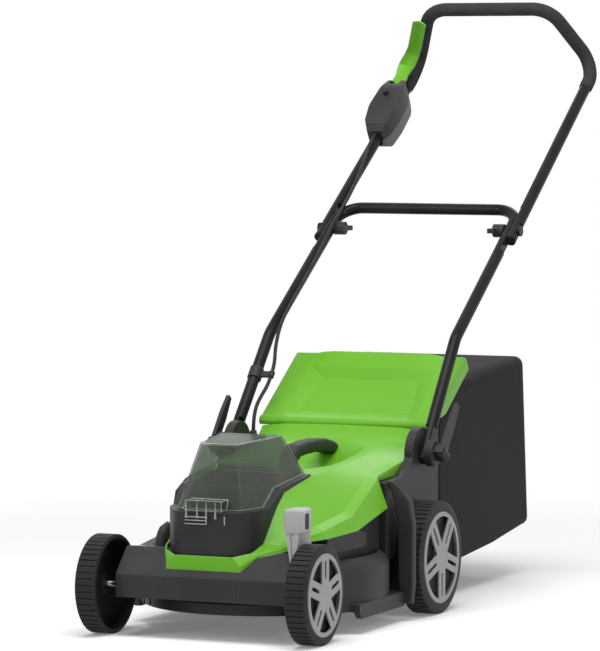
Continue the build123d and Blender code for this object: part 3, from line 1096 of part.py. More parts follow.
def stretch(first, last):
    """The route between two of its points, cut half way along the run after each."""
    points = list(cable_route[first + 1:last + 1])
    if first >= 0:
        points.insert(0, middle(cable_route[first], cable_route[first + 1], 0.505))
    if last + 1 < len(cable_route):
        points.append(middle(cable_route[last], cable_route[last + 1], 0.5))
    return points


nodes["cable_upper"] = cable_stretch(stretch(-1, CUT_UPPER - 1))
nodes["cable_fold"] = cable_stretch(stretch(CUT_UPPER - 1, CUT_LOWER))
nodes["cable_lower"] = cable_stretch(stretch(CUT_LOWER, CUT_DECK))
nodes["cable_deck"] = cable_stretch(stretch(CUT_DECK, len(cable_route) - 1))
gland = rod_z(8, GLAND_TOP_Z - 40, GLAND_TOP_Z - 18, GLAND_X, GLAND_Y)
gland = gland + Pos(GLAND_X, GLAND_Y, GLAND_TOP_Z - 9) * Cone(8, 5, 18)
gland_mouth = rod_z(CABLE_R + RUN, GLAND_TOP_Z - 1, GLAND_TOP_Z + 10, GLAND_X, GLAND_Y)
nodes["cable_gland"] = gland - hood_outside - gland_mouth

# Clip that holds the cable beside the lower handle
clip_x = foot_x(CLIP_DOWN)
clip_eye = Pos(CLIP_CABLE_X - clip_x, CLIP_CABLE_FRONT)
clip_plane = Plane(origin=by_foot(CLIP_DOWN, clip_x, 0), x_dir=(1, 0, 0), z_dir=(0, lower_dy, lower_dz))
tube_run = Vector(*LOWER_BEND) - Vector(*lower_foot)
tube_plane = Plane(origin=clip_plane.origin, x_dir=(1, 0, 0), z_dir=(-tube_run.X, tube_run.Y, tube_run.Z))
tube_bore = tube_plane * Cylinder(TUBE_R + RUN, 4 * CLIP_W)
arm_end = CLIP_CABLE_X - clip_x - CABLE_R
clip_arm = Pos((TUBE_R + arm_end) / 2, CLIP_CABLE_FRONT) * Rectangle(arm_end - TUBE_R, CLIP_ARM_T)
clip_ring = clip_arm + clip_eye * Circle(CABLE_R + CLIP_T) - clip_eye * Circle(CABLE_R + LEG_GAP)
clip = extrude(clip_plane * Circle(TUBE_R + CLIP_T), amount=CLIP_W / 2, both=True)
clip = clip + extrude(clip_plane * clip_ring, amount=CLIP_ARM_T, both=True) - tube_bore
nodes["cable_clip"] = clip

# Stand the mower on the origin and write one file for each piece
low_y_all = min(shape.bounding_box().min.Y for shape in nodes.values())
high_y_all = max(shape.bounding_box().max.Y for shape in nodes.values())
middle_y = (low_y_all + high_y_all) / 2
os.makedirs("parts", exist_ok=True)
for name, shape in nodes.items():
    export_step(Pos(0, -middle_y, 0) * shape, os.path.join("parts", name + ".step"))
print("nodes", len(nodes), "middle", round(middle_y, 4))
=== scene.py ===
import json
import math

import bmesh
import bpy
from bpy.props import FloatProperty, FloatVectorProperty, PointerProperty
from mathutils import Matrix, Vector, noise

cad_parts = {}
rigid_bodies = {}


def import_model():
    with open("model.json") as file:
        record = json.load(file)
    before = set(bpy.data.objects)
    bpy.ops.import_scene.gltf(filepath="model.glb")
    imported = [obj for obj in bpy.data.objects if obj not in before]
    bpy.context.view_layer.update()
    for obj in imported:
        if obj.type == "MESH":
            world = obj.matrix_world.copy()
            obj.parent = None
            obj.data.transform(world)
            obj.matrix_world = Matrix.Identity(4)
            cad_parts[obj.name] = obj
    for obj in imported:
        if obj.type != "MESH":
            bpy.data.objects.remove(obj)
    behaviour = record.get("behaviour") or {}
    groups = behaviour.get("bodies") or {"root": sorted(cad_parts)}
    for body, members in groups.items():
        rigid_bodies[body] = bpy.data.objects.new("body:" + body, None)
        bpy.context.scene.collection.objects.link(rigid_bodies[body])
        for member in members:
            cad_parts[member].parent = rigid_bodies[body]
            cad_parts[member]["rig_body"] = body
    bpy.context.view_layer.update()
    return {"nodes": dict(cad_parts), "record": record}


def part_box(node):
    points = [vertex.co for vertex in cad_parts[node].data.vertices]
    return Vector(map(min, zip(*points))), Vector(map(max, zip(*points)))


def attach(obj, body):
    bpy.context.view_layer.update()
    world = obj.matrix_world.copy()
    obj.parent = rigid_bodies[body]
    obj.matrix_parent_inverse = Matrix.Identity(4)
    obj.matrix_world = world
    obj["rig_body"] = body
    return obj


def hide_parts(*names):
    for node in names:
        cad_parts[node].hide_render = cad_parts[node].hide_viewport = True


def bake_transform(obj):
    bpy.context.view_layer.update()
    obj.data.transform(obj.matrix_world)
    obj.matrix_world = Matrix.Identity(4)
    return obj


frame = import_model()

bl_info = {
    "name": "Push Lawn Mower",
    "version": (1, 0, 0),
    "blender": (4, 5, 0),
    "location": "View3D > Sidebar > Mower",
    "description": "Dresses the packed mower with its finishes, grass bag, grip, cable and studio",
    "category": "Object",
}

MM = 0.001
NODES = frame["nodes"]
SLOTS = {part["node"]: part["material_slot"] for part in frame["record"]["subparts"]}
WHEEL_LOW, WHEEL_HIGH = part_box("front_wheel_left")
AXLE_Y = (WHEEL_LOW.y + WHEEL_HIGH.y) / 2


def place(x, y, z):
    """A drawing point, in millimetres from the front axle and the ground, as a point of the frame."""
    return Vector((x * MM, AXLE_Y + y * MM, z * MM))


def tint(red, green, blue):
    """A colour as a screen shows it, 0 to 255, as the linear colour that a shader takes."""
    shares = [value / 255 for value in (red, green, blue)]
    return tuple(s / 12.92 if s <= 0.04045 else ((s + 0.055) / 1.055) ** 2.4 for s in shares)


def paler(colour, share):
    """A colour moved towards white, or towards black where the share is negative."""
    goal = 1.0 if share > 0 else 0.0
    return tuple(c + (goal - c) * abs(share) for c in colour)


# Sizes and colours that a user would change
def colour_of(name, description, red, green, blue):
    return FloatVectorProperty(name=name, description=description, default=tint(red, green, blue),
                               subtype="COLOR", size=3, min=0.0, max=1.0)


def length_of(name, description, millimetres):
    return FloatProperty(name=name, description=description, default=millimetres * MM,
                         subtype="DISTANCE", unit="LENGTH", min=0.0)


class MowerColours(bpy.types.PropertyGroup):
    """Colours of the mower's materials, one for each slot of the record."""
    green_plastic: colour_of("Hood", "Glossy plastic of the hood, flap and bail lever", 100, 174, 5)
    dark_plastic: colour_of("Deck", "Dark plastic of the deck and small fittings", 21, 21, 22)
    housing_plastic: colour_of("Battery housing", "Plastic round the battery bay", 21, 21, 23)
    wheel_plastic: colour_of("Wheels", "Plastic of the wheels and their treads", 14, 14, 15)
    hub_gray: colour_of("Hubcaps", "Plastic of the hubcaps", 141, 141, 141)
    lever_gray: colour_of("Height lever", "Plastic of the height lever", 175, 173, 176)
    clear_plastic: colour_of("Battery lid", "Smoky clear plastic of the lid", 150, 160, 148)
    zinc_steel: colour_of("Zinc", "Plated axles, pins, bolts and nuts", 134, 136, 140)
    blade_steel: colour_of("Blade", "Ground steel of the blade", 120, 122, 126)
    motor_metal: colour_of("Motor", "Cast metal of the motor", 92, 94, 98)
    board_green: colour_of("Controller", "Lacquered controller board", 24, 84, 50)
    contact_brass: colour_of("Contacts", "Brass of the battery contacts", 196, 158, 84)
    key_red: colour_of("Safety key", "Red plastic of the safety key", 196, 36, 28)
    tube_black: colour_of("Handle tubes", "Powder coat on the handle tubes", 8, 8, 9)
    grip_foam: colour_of("Grip", "Foam of the grip sleeve", 18, 18, 18)
    bag_fabric: colour_of("Grass bag", "Woven fabric of the grass bag", 27, 27, 26)
    switch_gray: colour_of("Switch box", "Lower half of the switch box", 92, 92, 94)
    cable_rubber: colour_of("Cable", "Rubber jacket of the power cable", 17, 17, 18)


class MowerSizes(bpy.types.PropertyGroup):
    """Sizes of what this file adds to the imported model."""
    edge_round: length_of("Edge round", "How softly a moulded edge catches the light", 1.1)
    hood_round: length_of("Hood round", "The same for the folds of the hood and flap", 2.6)
    bag_cloth: length_of("Bag cloth", "Thickness of the bag's fabric", 1.6)
    bag_sag: length_of("Bag sag", "How far the bag's panels hang in or out between their seams", 5.0)
    weave: length_of("Weave", "Pitch of the bag's weave", 1.7)
    stitch: length_of("Stitch", "Length of one stitch on the bag's seams", 3.2)
    stitch_step: length_of("Stitch step", "From one stitch to the next", 4.6)
    cable: length_of("Cable", "Diameter of the power cable", 6.0)
    grip: length_of("Grip", "Outer diameter of the foam grip", 23.2)


class MowerStage(bpy.types.PropertyGroup):
    """Camera and light."""
    turn: FloatProperty(name="Turn", description="How far the camera stands round the mower's front",
                        default=math.radians(23.953), subtype="ANGLE", unit="ROTATION")
    tilt: FloatProperty(name="Tilt", description="How far the camera looks down",
                        default=math.radians(3.521), subtype="ANGLE", unit="ROTATION")
    lens: FloatProperty(name="Lens", description="Focal length on a 36 mm sensor", default=226.88,
                        unit="CAMERA", min=1.0)
    key: FloatProperty(name="Key light", description="Power of the large light above", default=68.0,
                       unit="POWER", min=0.0)
    strip: FloatProperty(name="Strip lights", description="Power of the tall narrow lights at the sides",
                         default=20.0, unit="POWER", min=0.0)
    room: FloatProperty(name="Room light", description="Strength of the light from all round",
                        default=0.26, min=0.0)


# Node trees
class Wire:
    """A socket of a tree. Arithmetic on it adds Math nodes."""

    def __init__(self, net, socket):
        self.net = net
        self.socket = socket

    def join(self, operation, first, second):
        return self.net.node("ShaderNodeMath", {"operation": operation}, {0: first, 1: second})

    def __add__(self, other):
        return self.join("ADD", self, other)

    def __radd__(self, other):
        return self.join("ADD", other, self)

    def __sub__(self, other):
        return self.join("SUBTRACT", self, other)

    def __rsub__(self, other):
        return self.join("SUBTRACT", other, self)

    def __mul__(self, other):
        return self.join("MULTIPLY", self, other)

    def __rmul__(self, other):
        return self.join("MULTIPLY", other, self)

    def __truediv__(self, other):
        return self.join("DIVIDE", self, other)

    def __pow__(self, other):
        return self.join("POWER", self, other)


class Net:
    """A node tree that is built one node at a time."""

    def __init__(self, tree):
        self.tree = tree
        tree.nodes.clear()

    def node(self, kind, settings=None, sockets=None, output=0):
        """Adds a node, gives it its settings, then its sockets' values or links."""
        made = self.tree.nodes.new(kind)
        for name, value in (settings or {}).items():
            setattr(made, name, value)
        for name, value in (sockets or {}).items():
            if isinstance(value, Wire):
                self.tree.links.new(value.socket, made.inputs[name])
            else:
                made.inputs[name].default_value = value
        return Wire(self, made.outputs[output]) if len(made.outputs) else None


class Finish(Net):
    """A material and the patterns that its shader reads."""

    def __init__(self, name):
        self.material = bpy.data.materials.new(name)
        self.material.use_nodes = True
        super().__init__(self.material.node_tree)
        self.at = self.node("ShaderNodeTexCoord", output="Object")

    def noise(self, scale, detail=2.0, where=None):
        return self.node("ShaderNodeTexNoise", None, {"Vector": where or self.at, "Scale": scale, "Detail": detail})

    def cells(self, scale):
        return self.node("ShaderNodeTexVoronoi", None, {"Vector": self.at, "Scale": scale})

    def mix(self, share, first, second):
        """A colour between two others."""
        ends = [c if isinstance(c, Wire) else (*c, 1.0) for c in (first, second)]
        return self.node("ShaderNodeMix", {"data_type": "RGBA", "clamp_factor": True},
                         {0: share, 6: ends[0], 7: ends[1]}, output=2)

    def soft_edge(self, radius):
        """A normal that is rounded where faces meet."""
        return self.node("ShaderNodeBevel", {"samples": 4}, {"Radius": radius})

    def edge_mask(self, rounded):
        """1 on an edge and 0 on a flat face."""
        flat = self.node("ShaderNodeNewGeometry", output="Normal")
        along = self.node("ShaderNodeVectorMath", {"operation": "DOT_PRODUCT"}, {0: rounded, 1: flat}, output=1)
        return self.node("ShaderNodeClamp", None, {0: (1.0 - along) * 6.0})

    def bump(self, height, depth, strength=1.0, normal=None):
        sockets = {"Height": height, "Distance": depth, "Strength": strength}
        if normal:
            sockets["Normal"] = normal
        return self.node("ShaderNodeBump", None, sockets)

    def principled(self, sockets):
        return self.node("ShaderNodeBsdfPrincipled", None, sockets)

    def done(self, shader):
        self.node("ShaderNodeOutputMaterial", None, {"Surface": shader})
        return self.material


def moulded(name, colour, rough, radius, grain=0.05, coat=0.0, edge_highlight=0.25, gloss=0.2):
    """Moulded plastic: faint flow marks, a fine spark-eroded grain, rounded edges that catch the light and a painted
    highlight along them.
    """
    f = Finish(name)
    flow = f.noise(7.0, 3.0)
    grit = f.noise(1500.0, 2.0)
    rounded = f.soft_edge(radius)
    edge = f.edge_mask(rounded)
    body = f.mix(flow, paler(colour, -0.10), paler(colour, 0.035))
    return f.done(f.principled({
        # The edges are painted paler in the base colour: a painted highlight along them.
        "Base Color": f.mix(edge * edge_highlight, body, paler(colour, 0.30)),
        "Roughness": rough + (flow - 0.5) * 0.12 + (grit - 0.5) * 0.10,
        "Normal": f.bump(grit, grain * MM, 0.5, rounded),
        "Specular IOR Level": gloss,
        "Coat Weight": coat,
        "Coat Roughness": 0.12,
    }))


def plated(name, colour, rough, scratch):
    """Metal with fine scratches and a cloudy plating."""
    f = Finish(name)
    cloud = f.noise(60.0, 4.0)
    drawn = f.node("ShaderNodeMapping", None, {"Vector": f.at, "Scale": (40.0, 900.0, 900.0)})
    lines = f.noise(1.0, 3.0, drawn)
    return f.done(f.principled({
        "Base Color": f.mix(cloud, paler(colour, -0.18), paler(colour, 0.10)),
        "Metallic": 1.0,
        "Roughness": rough + (cloud - 0.5) * 0.2,
        "Normal": f.bump(lines, scratch * MM, 0.4, f.soft_edge(0.4 * MM)),
    }))


def smoky_clear(name, colour):
    """Clear plastic: smoky through the wall, bright where it is seen flat on, and painted pale along its edges as a
    painted highlight.
    """
    f = Finish(name)
    rounded = f.soft_edge(2.2 * MM)
    edge = f.edge_mask(rounded)
    haze = f.noise(14.0, 4.0)
    rim = f.node("ShaderNodeLayerWeight", None, {"Blend": 0.32, "Normal": rounded}, output="Fresnel")
    through = f.node("ShaderNodeBsdfTransparent", None, {"Color": (0.66, 0.70, 0.65, 1.0)})
    gloss = f.principled({
        # The edges are painted much paler: a painted highlight.
        "Base Color": f.mix(edge, paler(colour, -0.35), paler(colour, 0.85)),
        "Roughness": 0.10 + haze * 0.10,
        "Normal": rounded,
        "Coat Weight": 0.4,
    })
    # The edges show more of the pale gloss than of the clear wall: part of the painted highlight.
    share = f.node("ShaderNodeClamp", None, {0: 0.14 + haze * 0.08 + rim * 0.22 + edge * 0.8})
    return f.done(f.node("ShaderNodeMixShader", None, {0: share, 1: through, 2: gloss}))


def powder_coat(name, colour):
    """Powder-coated tube: satin, with a fine orange peel."""
    f = Finish(name)
    peel = f.noise(520.0, 2.0)
    cloud = f.noise(11.0, 3.0)
    return f.done(f.principled({
        "Base Color": f.mix(cloud, paler(colour, -0.15), paler(colour, 0.03)),
        "Roughness": 0.20 + (cloud - 0.5) * 0.08,
        "Specular IOR Level": 0.07,
        "Normal": f.bump(peel, 0.04 * MM, 0.5, f.soft_edge(0.8 * MM)),
    }))


def cell_foam(name, colour):
    """Closed-cell foam: tiny pits and a dull, uneven skin."""
    f = Finish(name)
    pits = f.cells(850.0)
    swell = f.noise(70.0, 3.0)
    return f.done(f.principled({
        # The pits' centres are painted darker, as painted shade in the pits; the swell adds uneven tone.
        "Base Color": f.mix(pits * 0.8 + swell * 0.4, paler(colour, -0.35), paler(colour, 0.06)),
        "Roughness": 0.70 + swell * 0.15,
        "Specular IOR Level": 0.08,
        "Normal": f.bump(pits + swell * 0.5, 0.25 * MM, 0.7),
    }))


def bag_cloth(name, colour, pitch):
    """Plain-woven polyester: warp and weft over the cloth's own measure, with slubs and soft creases."""
    f = Finish(name)
    cloth = f.node("ShaderNodeUVMap", {"uv_map": "cloth"})
    across = f.node("ShaderNodeSeparateXYZ", None, {0: cloth}, output=0)
    along = f.node("ShaderNodeSeparateXYZ", None, {0: cloth}, output=1)
    turn = 2.0 * math.pi / pitch

    def thread(distance):
        return f.node("ShaderNodeMath", {"operation": "SINE"}, {0: distance * turn})

    woven = thread(across) * thread(along) * 0.5 + 0.5
    slub = f.noise(240.0, 2.0)
    crease = f.noise(9.0, 3.0)
    fade = f.noise(3.0, 2.0)
    height = woven * 0.6 + slub * 0.4
    return f.done(f.principled({
        # The weave's gaps are painted darker, as painted shade between the threads; slubs and fading add uneven tone.
        "Base Color": f.mix(woven * 0.45 + slub * 0.35 + fade * 0.3 - 0.1, paler(colour, -0.30), paler(colour, 0.03)),
        "Roughness": 0.72 + slub * 0.2,
        "Normal": f.bump(height, 0.28 * MM, 0.5, f.bump(crease, 5.0 * MM, 0.35)),
        "Specular IOR Level": 0.12,
    }))


def rubber(name, colour):
    """Extruded rubber: matt, a little dusty."""
    f = Finish(name)
    dust = f.noise(120.0, 4.0)
    return f.done(f.principled({
        "Base Color": f.mix(dust, paler(colour, -0.2), paler(colour, 0.05)),
        "Roughness": 0.42 + dust * 0.2,
        "Specular IOR Level": 0.12,
        "Normal": f.bump(dust, 0.04 * MM, 0.5),
    }))


def make_finishes(colours, sizes):
    """One material for each slot of the record, and one for the lower half of the switch box."""
    fine, broad = sizes.edge_round, sizes.hood_round
    # Moulded: roughness, edge radius, grain, coat, painted edge highlight, gloss. Plated: roughness, scratch depth
    looks = {
        "green_plastic": (moulded, 0.36, broad, 0.03, 0.04, 0.5, 0.2),
        "dark_plastic": (moulded, 0.50, fine, 0.06),
        "housing_plastic": (moulded, 0.46, fine, 0.06),
        "wheel_plastic": (moulded, 0.55, 0.7 * fine, 0.08, 0.0, 0.25, 0.12),
        "hub_gray": (moulded, 0.42, fine, 0.04, 0.1, 0.6),
        "lever_gray": (moulded, 0.40, fine, 0.04, 0.1, 0.4),
        "clear_plastic": (smoky_clear,),
        "zinc_steel": (plated, 0.34, 0.02),
        "blade_steel": (plated, 0.42, 0.05),
        "motor_metal": (plated, 0.55, 0.03),
        "board_green": (moulded, 0.30, 0.4 * fine, 0.03, 0.3),
        "contact_brass": (plated, 0.32, 0.02),
        "key_red": (moulded, 0.38, fine, 0.04, 0.1),
        "tube_black": (powder_coat,),
        "grip_foam": (cell_foam,),
        "bag_fabric": (bag_cloth, sizes.weave),
        "cable_rubber": (rubber,),
        "switch_gray": (moulded, 0.48, fine, 0.06),
    }
    return {slot: kind(slot, getattr(colours, slot), *numbers) for slot, (kind, *numbers) in looks.items()}


FINISHES = {}


def finish_of(slot):
    """The slot's material. All of them are made when the first is asked for."""
    if not FINISHES:
        scene = bpy.context.scene
        FINISHES.update(make_finishes(scene.mower_colours, scene.mower_sizes))
    return FINISHES[slot]


# Making pieces
def new_piece(name, mesh, slot):
    """An object at the origin with its place in its mesh, in the slot's material."""
    piece = bpy.data.objects.new(name, mesh)
    bpy.context.scene.collection.objects.link(piece)
    mesh.materials.clear()
    mesh.materials.append(finish_of(slot))
    return piece


def smooth(mesh, sharp=32.0):
    """Smooth shading, broken where faces meet at more than this angle."""
    mesh.shade_smooth()
    mesh.set_sharp_from_angle(angle=math.radians(sharp))


def dressed(node, sharp=32.0, slot=None, move=None):
    """A clean copy of a CAD node in its slot's finish, which stands for the node. A move reshapes it."""
    slot = slot or SLOTS[node]
    mesh = NODES[node].data.copy()
    mesh.name = node + "_skin"
    work = bmesh.new()
    work.from_mesh(mesh)
    bmesh.ops.remove_doubles(work, verts=work.verts, dist=0.004 * MM)
    if move:
        for vert in work.verts:
            x, y, z = vert.co / MM
            vert.co = place(*move(x, y - AXLE_Y / MM, z))
    work.to_mesh(mesh)
    work.free()
    for name in ("custom_normal", "sharp_edge", "sharp_face"):
        if name in mesh.attributes:
            mesh.attributes.remove(mesh.attributes[name])
    smooth(mesh, sharp)
    return settle(new_piece(node + "_skin", mesh, slot), NODES[node]["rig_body"], slot, node)


def settle(piece, body, slot, *nodes):
    """Sets a finished piece on its body and hides the nodes that it stands for."""
    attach(piece, body)
    if nodes:
        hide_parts(*nodes)
    "housing_plastic" if slot == "switch_gray" else slot
    return piece


def dress_all(*nodes):
    for node in nodes:
        dressed(node)


def mesh_of(name, points, faces=(), edges=()):
    mesh = bpy.data.meshes.new(name)
    mesh.from_pydata([tuple(p) for p in points], list(edges), list(faces))
    mesh.validate()
    return mesh


def tube_faces(rings, around, closed_ends):
    """Faces between rings of points, with caps where the ends are closed."""
    faces = []
    for k in range(rings - 1):
        for j in range(around):
            a, b = k * around + j, k * around + (j + 1) % around
            faces.append((a, b, b + around, a + around))
    if closed_ends:
        faces.append(tuple(reversed(range(around))))
        faces.append(tuple(range((rings - 1) * around, rings * around)))
    return faces


def outward(mesh):
    """Turns a closed mesh's faces outwards."""
    work = bmesh.new()
    work.from_mesh(mesh)
    bmesh.ops.remove_doubles(work, verts=work.verts, dist=0.004 * MM)
    bmesh.ops.recalc_face_normals(work, faces=work.faces)
    work.to_mesh(mesh)
    work.free()
    return mesh


def baked(piece):
    """The piece's mesh with its modifiers worked in. The modifiers are then gone."""
    graph = bpy.context.evaluated_depsgraph_get()
    mesh = bpy.data.meshes.new_from_object(piece.evaluated_get(graph))
    piece.modifiers.clear()
    piece.data = mesh
    return piece


def walled(piece, thickness, offset=-1.0):
    """Gives a sheet its thickness and returns the new mesh."""
    wall = piece.modifiers.new("wall", "SOLIDIFY")
    wall.thickness = thickness
    wall.offset = offset
    return baked(piece).data


def loft(name, points, around, slot, body="chassis", sharp=30.0, nodes=()):
    """A closed piece through rings of points, with so many points to a ring."""
    mesh = outward(mesh_of(name, points, tube_faces(len(points) // around, around, True)))
    smooth(mesh, sharp)
    return settle(new_piece(name, mesh, slot), body, slot, *nodes)


def circle(count):
    """Cosine and sine of equal steps round a circle."""
    return [(math.cos(2 * math.pi * k / count), math.sin(2 * math.pi * k / count)) for k in range(count)]


def heading(line, k):
    """The direction of a line at one of its points."""
    return (line[min(k + 1, len(line) - 1)] - line[max(k - 1, 0)]).normalized()


# Where the camera stands, in millimetres, and how wide its sensor is
EYE = (2595.2, -5507.5, 843.5)
SENSOR = 36.0


# Operators
class MOWER_OT_stage(bpy.types.Operator):
    """Camera, light, white surroundings and the floor"""
    bl_idname = "mower.stage"
    bl_label = "Stage"

    def execute(self, context):
        scene = context.scene
        stage = scene.mower_stage
        scene.view_settings.view_transform = "Standard"
        camera = bpy.data.cameras.new("photo_camera")
        camera.lens = stage.lens
        camera.sensor_width = SENSOR
        camera.clip_end = 50.0
        eye = bpy.data.objects.new("photo_camera", camera)
        eye.location = place(*EYE)
        eye.rotation_euler = (math.pi / 2 - stage.tilt, 0.0, stage.turn)
        scene.collection.objects.link(eye)
        scene.camera = eye
        self.room(scene, stage.room)
        self.lamp(scene, "key_light", stage.key, (2.2, 1.6), (0.3, -0.9, 2.8), (0.0, 0.0, 0.3))
        self.lamp(scene, "strip_left", stage.strip, (0.28, 2.2), (-1.5, -2.6, 1.7), (0.0, 0.0, 0.4))
        self.lamp(scene, "strip_right", stage.strip * 1.1, (0.28, 2.2), (2.9, -1.1, 1.5), (0.0, 0.0, 0.3))
        self.lamp(scene, "back_light", stage.key * 0.22, (1.6, 1.0), (-0.6, 2.4, 2.3), (0.0, 0.2, 0.4))
        self.floor(scene)
        return {"FINISHED"}

    def lamp(self, scene, name, power, sides, spot, aim):
        data = bpy.data.lights.new(name, "AREA")
        data.energy = power
        data.shape = "RECTANGLE"
        data.size, data.size_y = sides
        lamp = bpy.data.objects.new(name, data)
        lamp.location = spot
        lamp.rotation_euler = (Vector(aim) - Vector(spot)).to_track_quat("-Z", "Y").to_euler()
        scene.collection.objects.link(lamp)

    def room(self, scene, strength):
        """White to the camera and in reflections, a plain light level for everything else."""
        world = bpy.data.worlds.new("studio")
        scene.world = world
        world.use_nodes = True
        net = Net(world.node_tree)
        seen = [net.node("ShaderNodeLightPath", output=ray)
                for ray in ("Is Camera Ray", "Is Glossy Ray", "Is Transmission Ray")]
        shown = net.node("ShaderNodeClamp", None, {0: seen[0] + seen[1] + seen[2]})
        light = net.node("ShaderNodeBackground", None,
                         {"Color": (1.0, 1.0, 1.0, 1.0), "Strength": shown * (1.0 - strength) + strength})
        net.node("ShaderNodeOutputWorld", None, {"Surface": light})

    def floor(self, scene):
        """A pale floor that keeps the shadow and fades into the white round it."""
        reach = 2.4
        corners = [(-reach, -reach, 0.0), (reach, -reach, 0.0), (reach, reach, 0.0), (-reach, reach, 0.0)]
        mesh = mesh_of("studio_floor", corners, [(0, 1, 2, 3)])
        f = Finish("studio_floor")
        far = f.node("ShaderNodeVectorMath", {"operation": "LENGTH"}, {0: f.at}, output=1)
        fade = f.node("ShaderNodeMapRange", {"interpolation_type": "SMOOTHSTEP"},
                      {0: far, 1: 0.75, 2: 1.7, 3: 0.0, 4: 1.0})
        matt = f.node("ShaderNodeBsdfDiffuse", None, {"Color": (0.86, 0.86, 0.86, 1.0)})
        glow = f.node("ShaderNodeEmission", None, {"Color": (0.16, 0.16, 0.16, 1.0)})
        lit = f.node("ShaderNodeAddShader", None, {0: matt, 1: glow})
        clear = f.node("ShaderNodeBsdfTransparent")
        mesh.materials.append(f.done(f.node("ShaderNodeMixShader", None, {0: fade, 1: lit, 2: clear})))
        floor = bpy.data.objects.new("studio_floor", mesh)
        scene.collection.objects.link(floor)


class MOWER_OT_wheels(bpy.types.Operator):
    """Wheels, hubcaps, axles and the height lever"""
    bl_idname = "mower.wheels"
    bl_label = "Running gear"

    def execute(self, context):
        for side in ("left", "right"):
            for axle in ("front", "rear"):
                dressed(axle + "_wheel_" + side)
                dressed(axle + "_hubcap_" + side)
        dress_all("front_axle", "rear_axle", "front_axle_nuts", "rear_axle_nuts", "axle_bearing_caps", "link_rod")
        dressed("height_lever", move=self.fuller_head)
        self.window()
        self.stem()
        return {"FINISHED"}

    def fuller_head(self, x, y, z):
        """Widens the head of the height lever and brings its arm forward, behind the stem."""
        foot, inner, wider = 162.5, 139.5, 1.36
        if foot < z < 164.5 and 141.0 < x < 150.0 and 1.0 < y < 26.5:
            return (x, y - 10.0, z)
        return (inner + (x - inner) * (wider if z > foot else 1.0), y, z)

    def stem(self):
        """The lever's tapered stem under its head, with a groove down its front."""
        rows = [(168, 128, 149, -6.5, 20), (158, 129, 149, -7.5, 17), (122, 137, 147, -11, 2)]
        points = []
        for z, x0, x1, y0, y1 in rows:
            third = (x1 - x0) / 3
            outline = [(x0, y0), (x0 + third, y0), (x0 + third, y0 + 1.6), (x1 - third, y0 + 1.6), (x1 - third, y0),
                       (x1, y0), (x1, y1), (x0, y1)]
            points.extend(place(x, y, z) for x, y in outline)
        loft("lever_stem", points, len(points) // len(rows), "lever_gray", "front_axle_body")

    def window(self):
        """A dark piece in the place of the finger slot in the outer face of the lever's head: painted shade for the
        slot's hollow.
        """
        outline = [(12.0 + y, 182.0 + z) for y, z in rounded_loop(7.0, 12.0, 4.0)]
        points = [place(x, y, z) for x in (151.0, 154.8) for y, z in outline]
        loft("lever_window", points, len(outline), "dark_plastic", "front_axle_body")


class MOWER_OT_deck(bpy.types.Operator):
    """Deck, discharge chute and rear towers"""
    bl_idname = "mower.deck"
    bl_label = "Deck"

    def execute(self, context):
        dressed("deck_shell", move=self.lower_right)
        dress_all("discharge_chute", "rear_tower_left", "rear_tower_right")
        for side in (1.0, -1.0):
            self.web(side)
            self.column(side)
        for x in (56.0, -62.0):
            self.seam(x)
        return {"FINISHED"}

    def lower_right(self, x, y, z):
        """Keeps the deck's right front below the edge of the hood, which is drawn in there."""
        if x > -60.0 or y < 20.0 or y > 289.0:
            return (x, y, z)
        return (x, y, min(z, between(RIGHT_TOP, y)[0]))

    def column(self, side):
        """The upright guard that stands before a rear wheel's tread."""
        rows = [(28, 182, 203, 300, 313), (60, 181, 206, 298, 314),
                (150, 180, 206, 298, 314), (186, 174, 200, 298, 314),
                (206, 166, 184, 300, 314), (216, 156, 169, 302, 313)]
        points = []
        for z, x0, x1, y0, y1 in rows:
            for x, y in rounded_loop((x1 - x0) / 2, (y1 - y0) / 2, 3.0):
                points.append(place(side * (x + (x0 + x1) / 2), y + (y0 + y1) / 2, z))
        loft("wheel_guard", points, len(points) // len(rows), "dark_plastic")

    def seam(self, x):
        """A raised bead where the front bumper meets its corner block."""
        line = [(-31, 60), (-31, 94), (-26, 100), (-21.5, 104.4)]
        points = []
        for y, z in line:
            for dx, out in ((-1.4, -0.6), (-0.9, 0.7), (0.9, 0.7), (1.4, -0.6)):
                points.append(place(x + dx, y - out, z + (0.5 * out if z > 94.0 else 0.0)))
        loft("bumper_bead", points, 4, "dark_plastic")

    def web(self, side):
        """The upright web between the blade chamber and a rear tower."""
        outline = [(112, 30), (149.6, 30), (149.6, 140), (140, 146), (112, 146)]
        points = [place(side * x, y, z) for y in (355.0, 357.5) for x, z in outline]
        loft("chamber_web", points, len(outline), "dark_plastic")


# The hood's sections from front to back: Y, then X and Z of its lower edge, its fold and its upper edge
HOOD_ROWS = [
    (-21, 61, 104, 60, 114, 48, 127), (-1, 80, 125, 78, 129, 70, 132),
    (8, 117, 133, 110, 138, 73, 136), (27, 128, 137, 121, 143, 76, 143),
    (64, 138, 145, 132, 152, 82, 195), (84, 157, 148, 150, 158, 85, 215),
    (171, 168, 152, 160, 173, 90, 232), (284, 170, 176, 153, 220, 95, 239),
    (290, 149.5, 215, 149, 222, 96, 240), (345, 149.5, 217.5, 148, 230, 98, 246),
    (400, 149.5, 218, 147, 238, 98, 251), (465, 149.5, 228, 143, 252, 98, 258),
    (490, 149.5, 233, 141, 264, 98, 269), (505.5, 149.5, 238, 141, 276, 100, 281),
]
# How wide the hood may be on the right, at Y: its front stays behind the battery housing there
RIGHT_LIMIT = [(-21, 61), (-1, 72), (8, 76), (44, 82), (85, 94), (171, 136), (284, 171)]
# How high the deck may stand on the right, at Y
RIGHT_TOP = [(20, 124), (150, 126), (230, 140), (284, 176)]
HOUSING_BACK = 178.0
HOOD_WALL = 2.4
# The finger bowl: its middle in Y, its half width and half length, its depth and how square it is
BOWL_Y, BOWL_HALF_X, BOWL_HALF_Y, BOWL_DEPTH, BOWL_SQUARE = 345.0, 84.0, 128.0, 31.0, 2.6


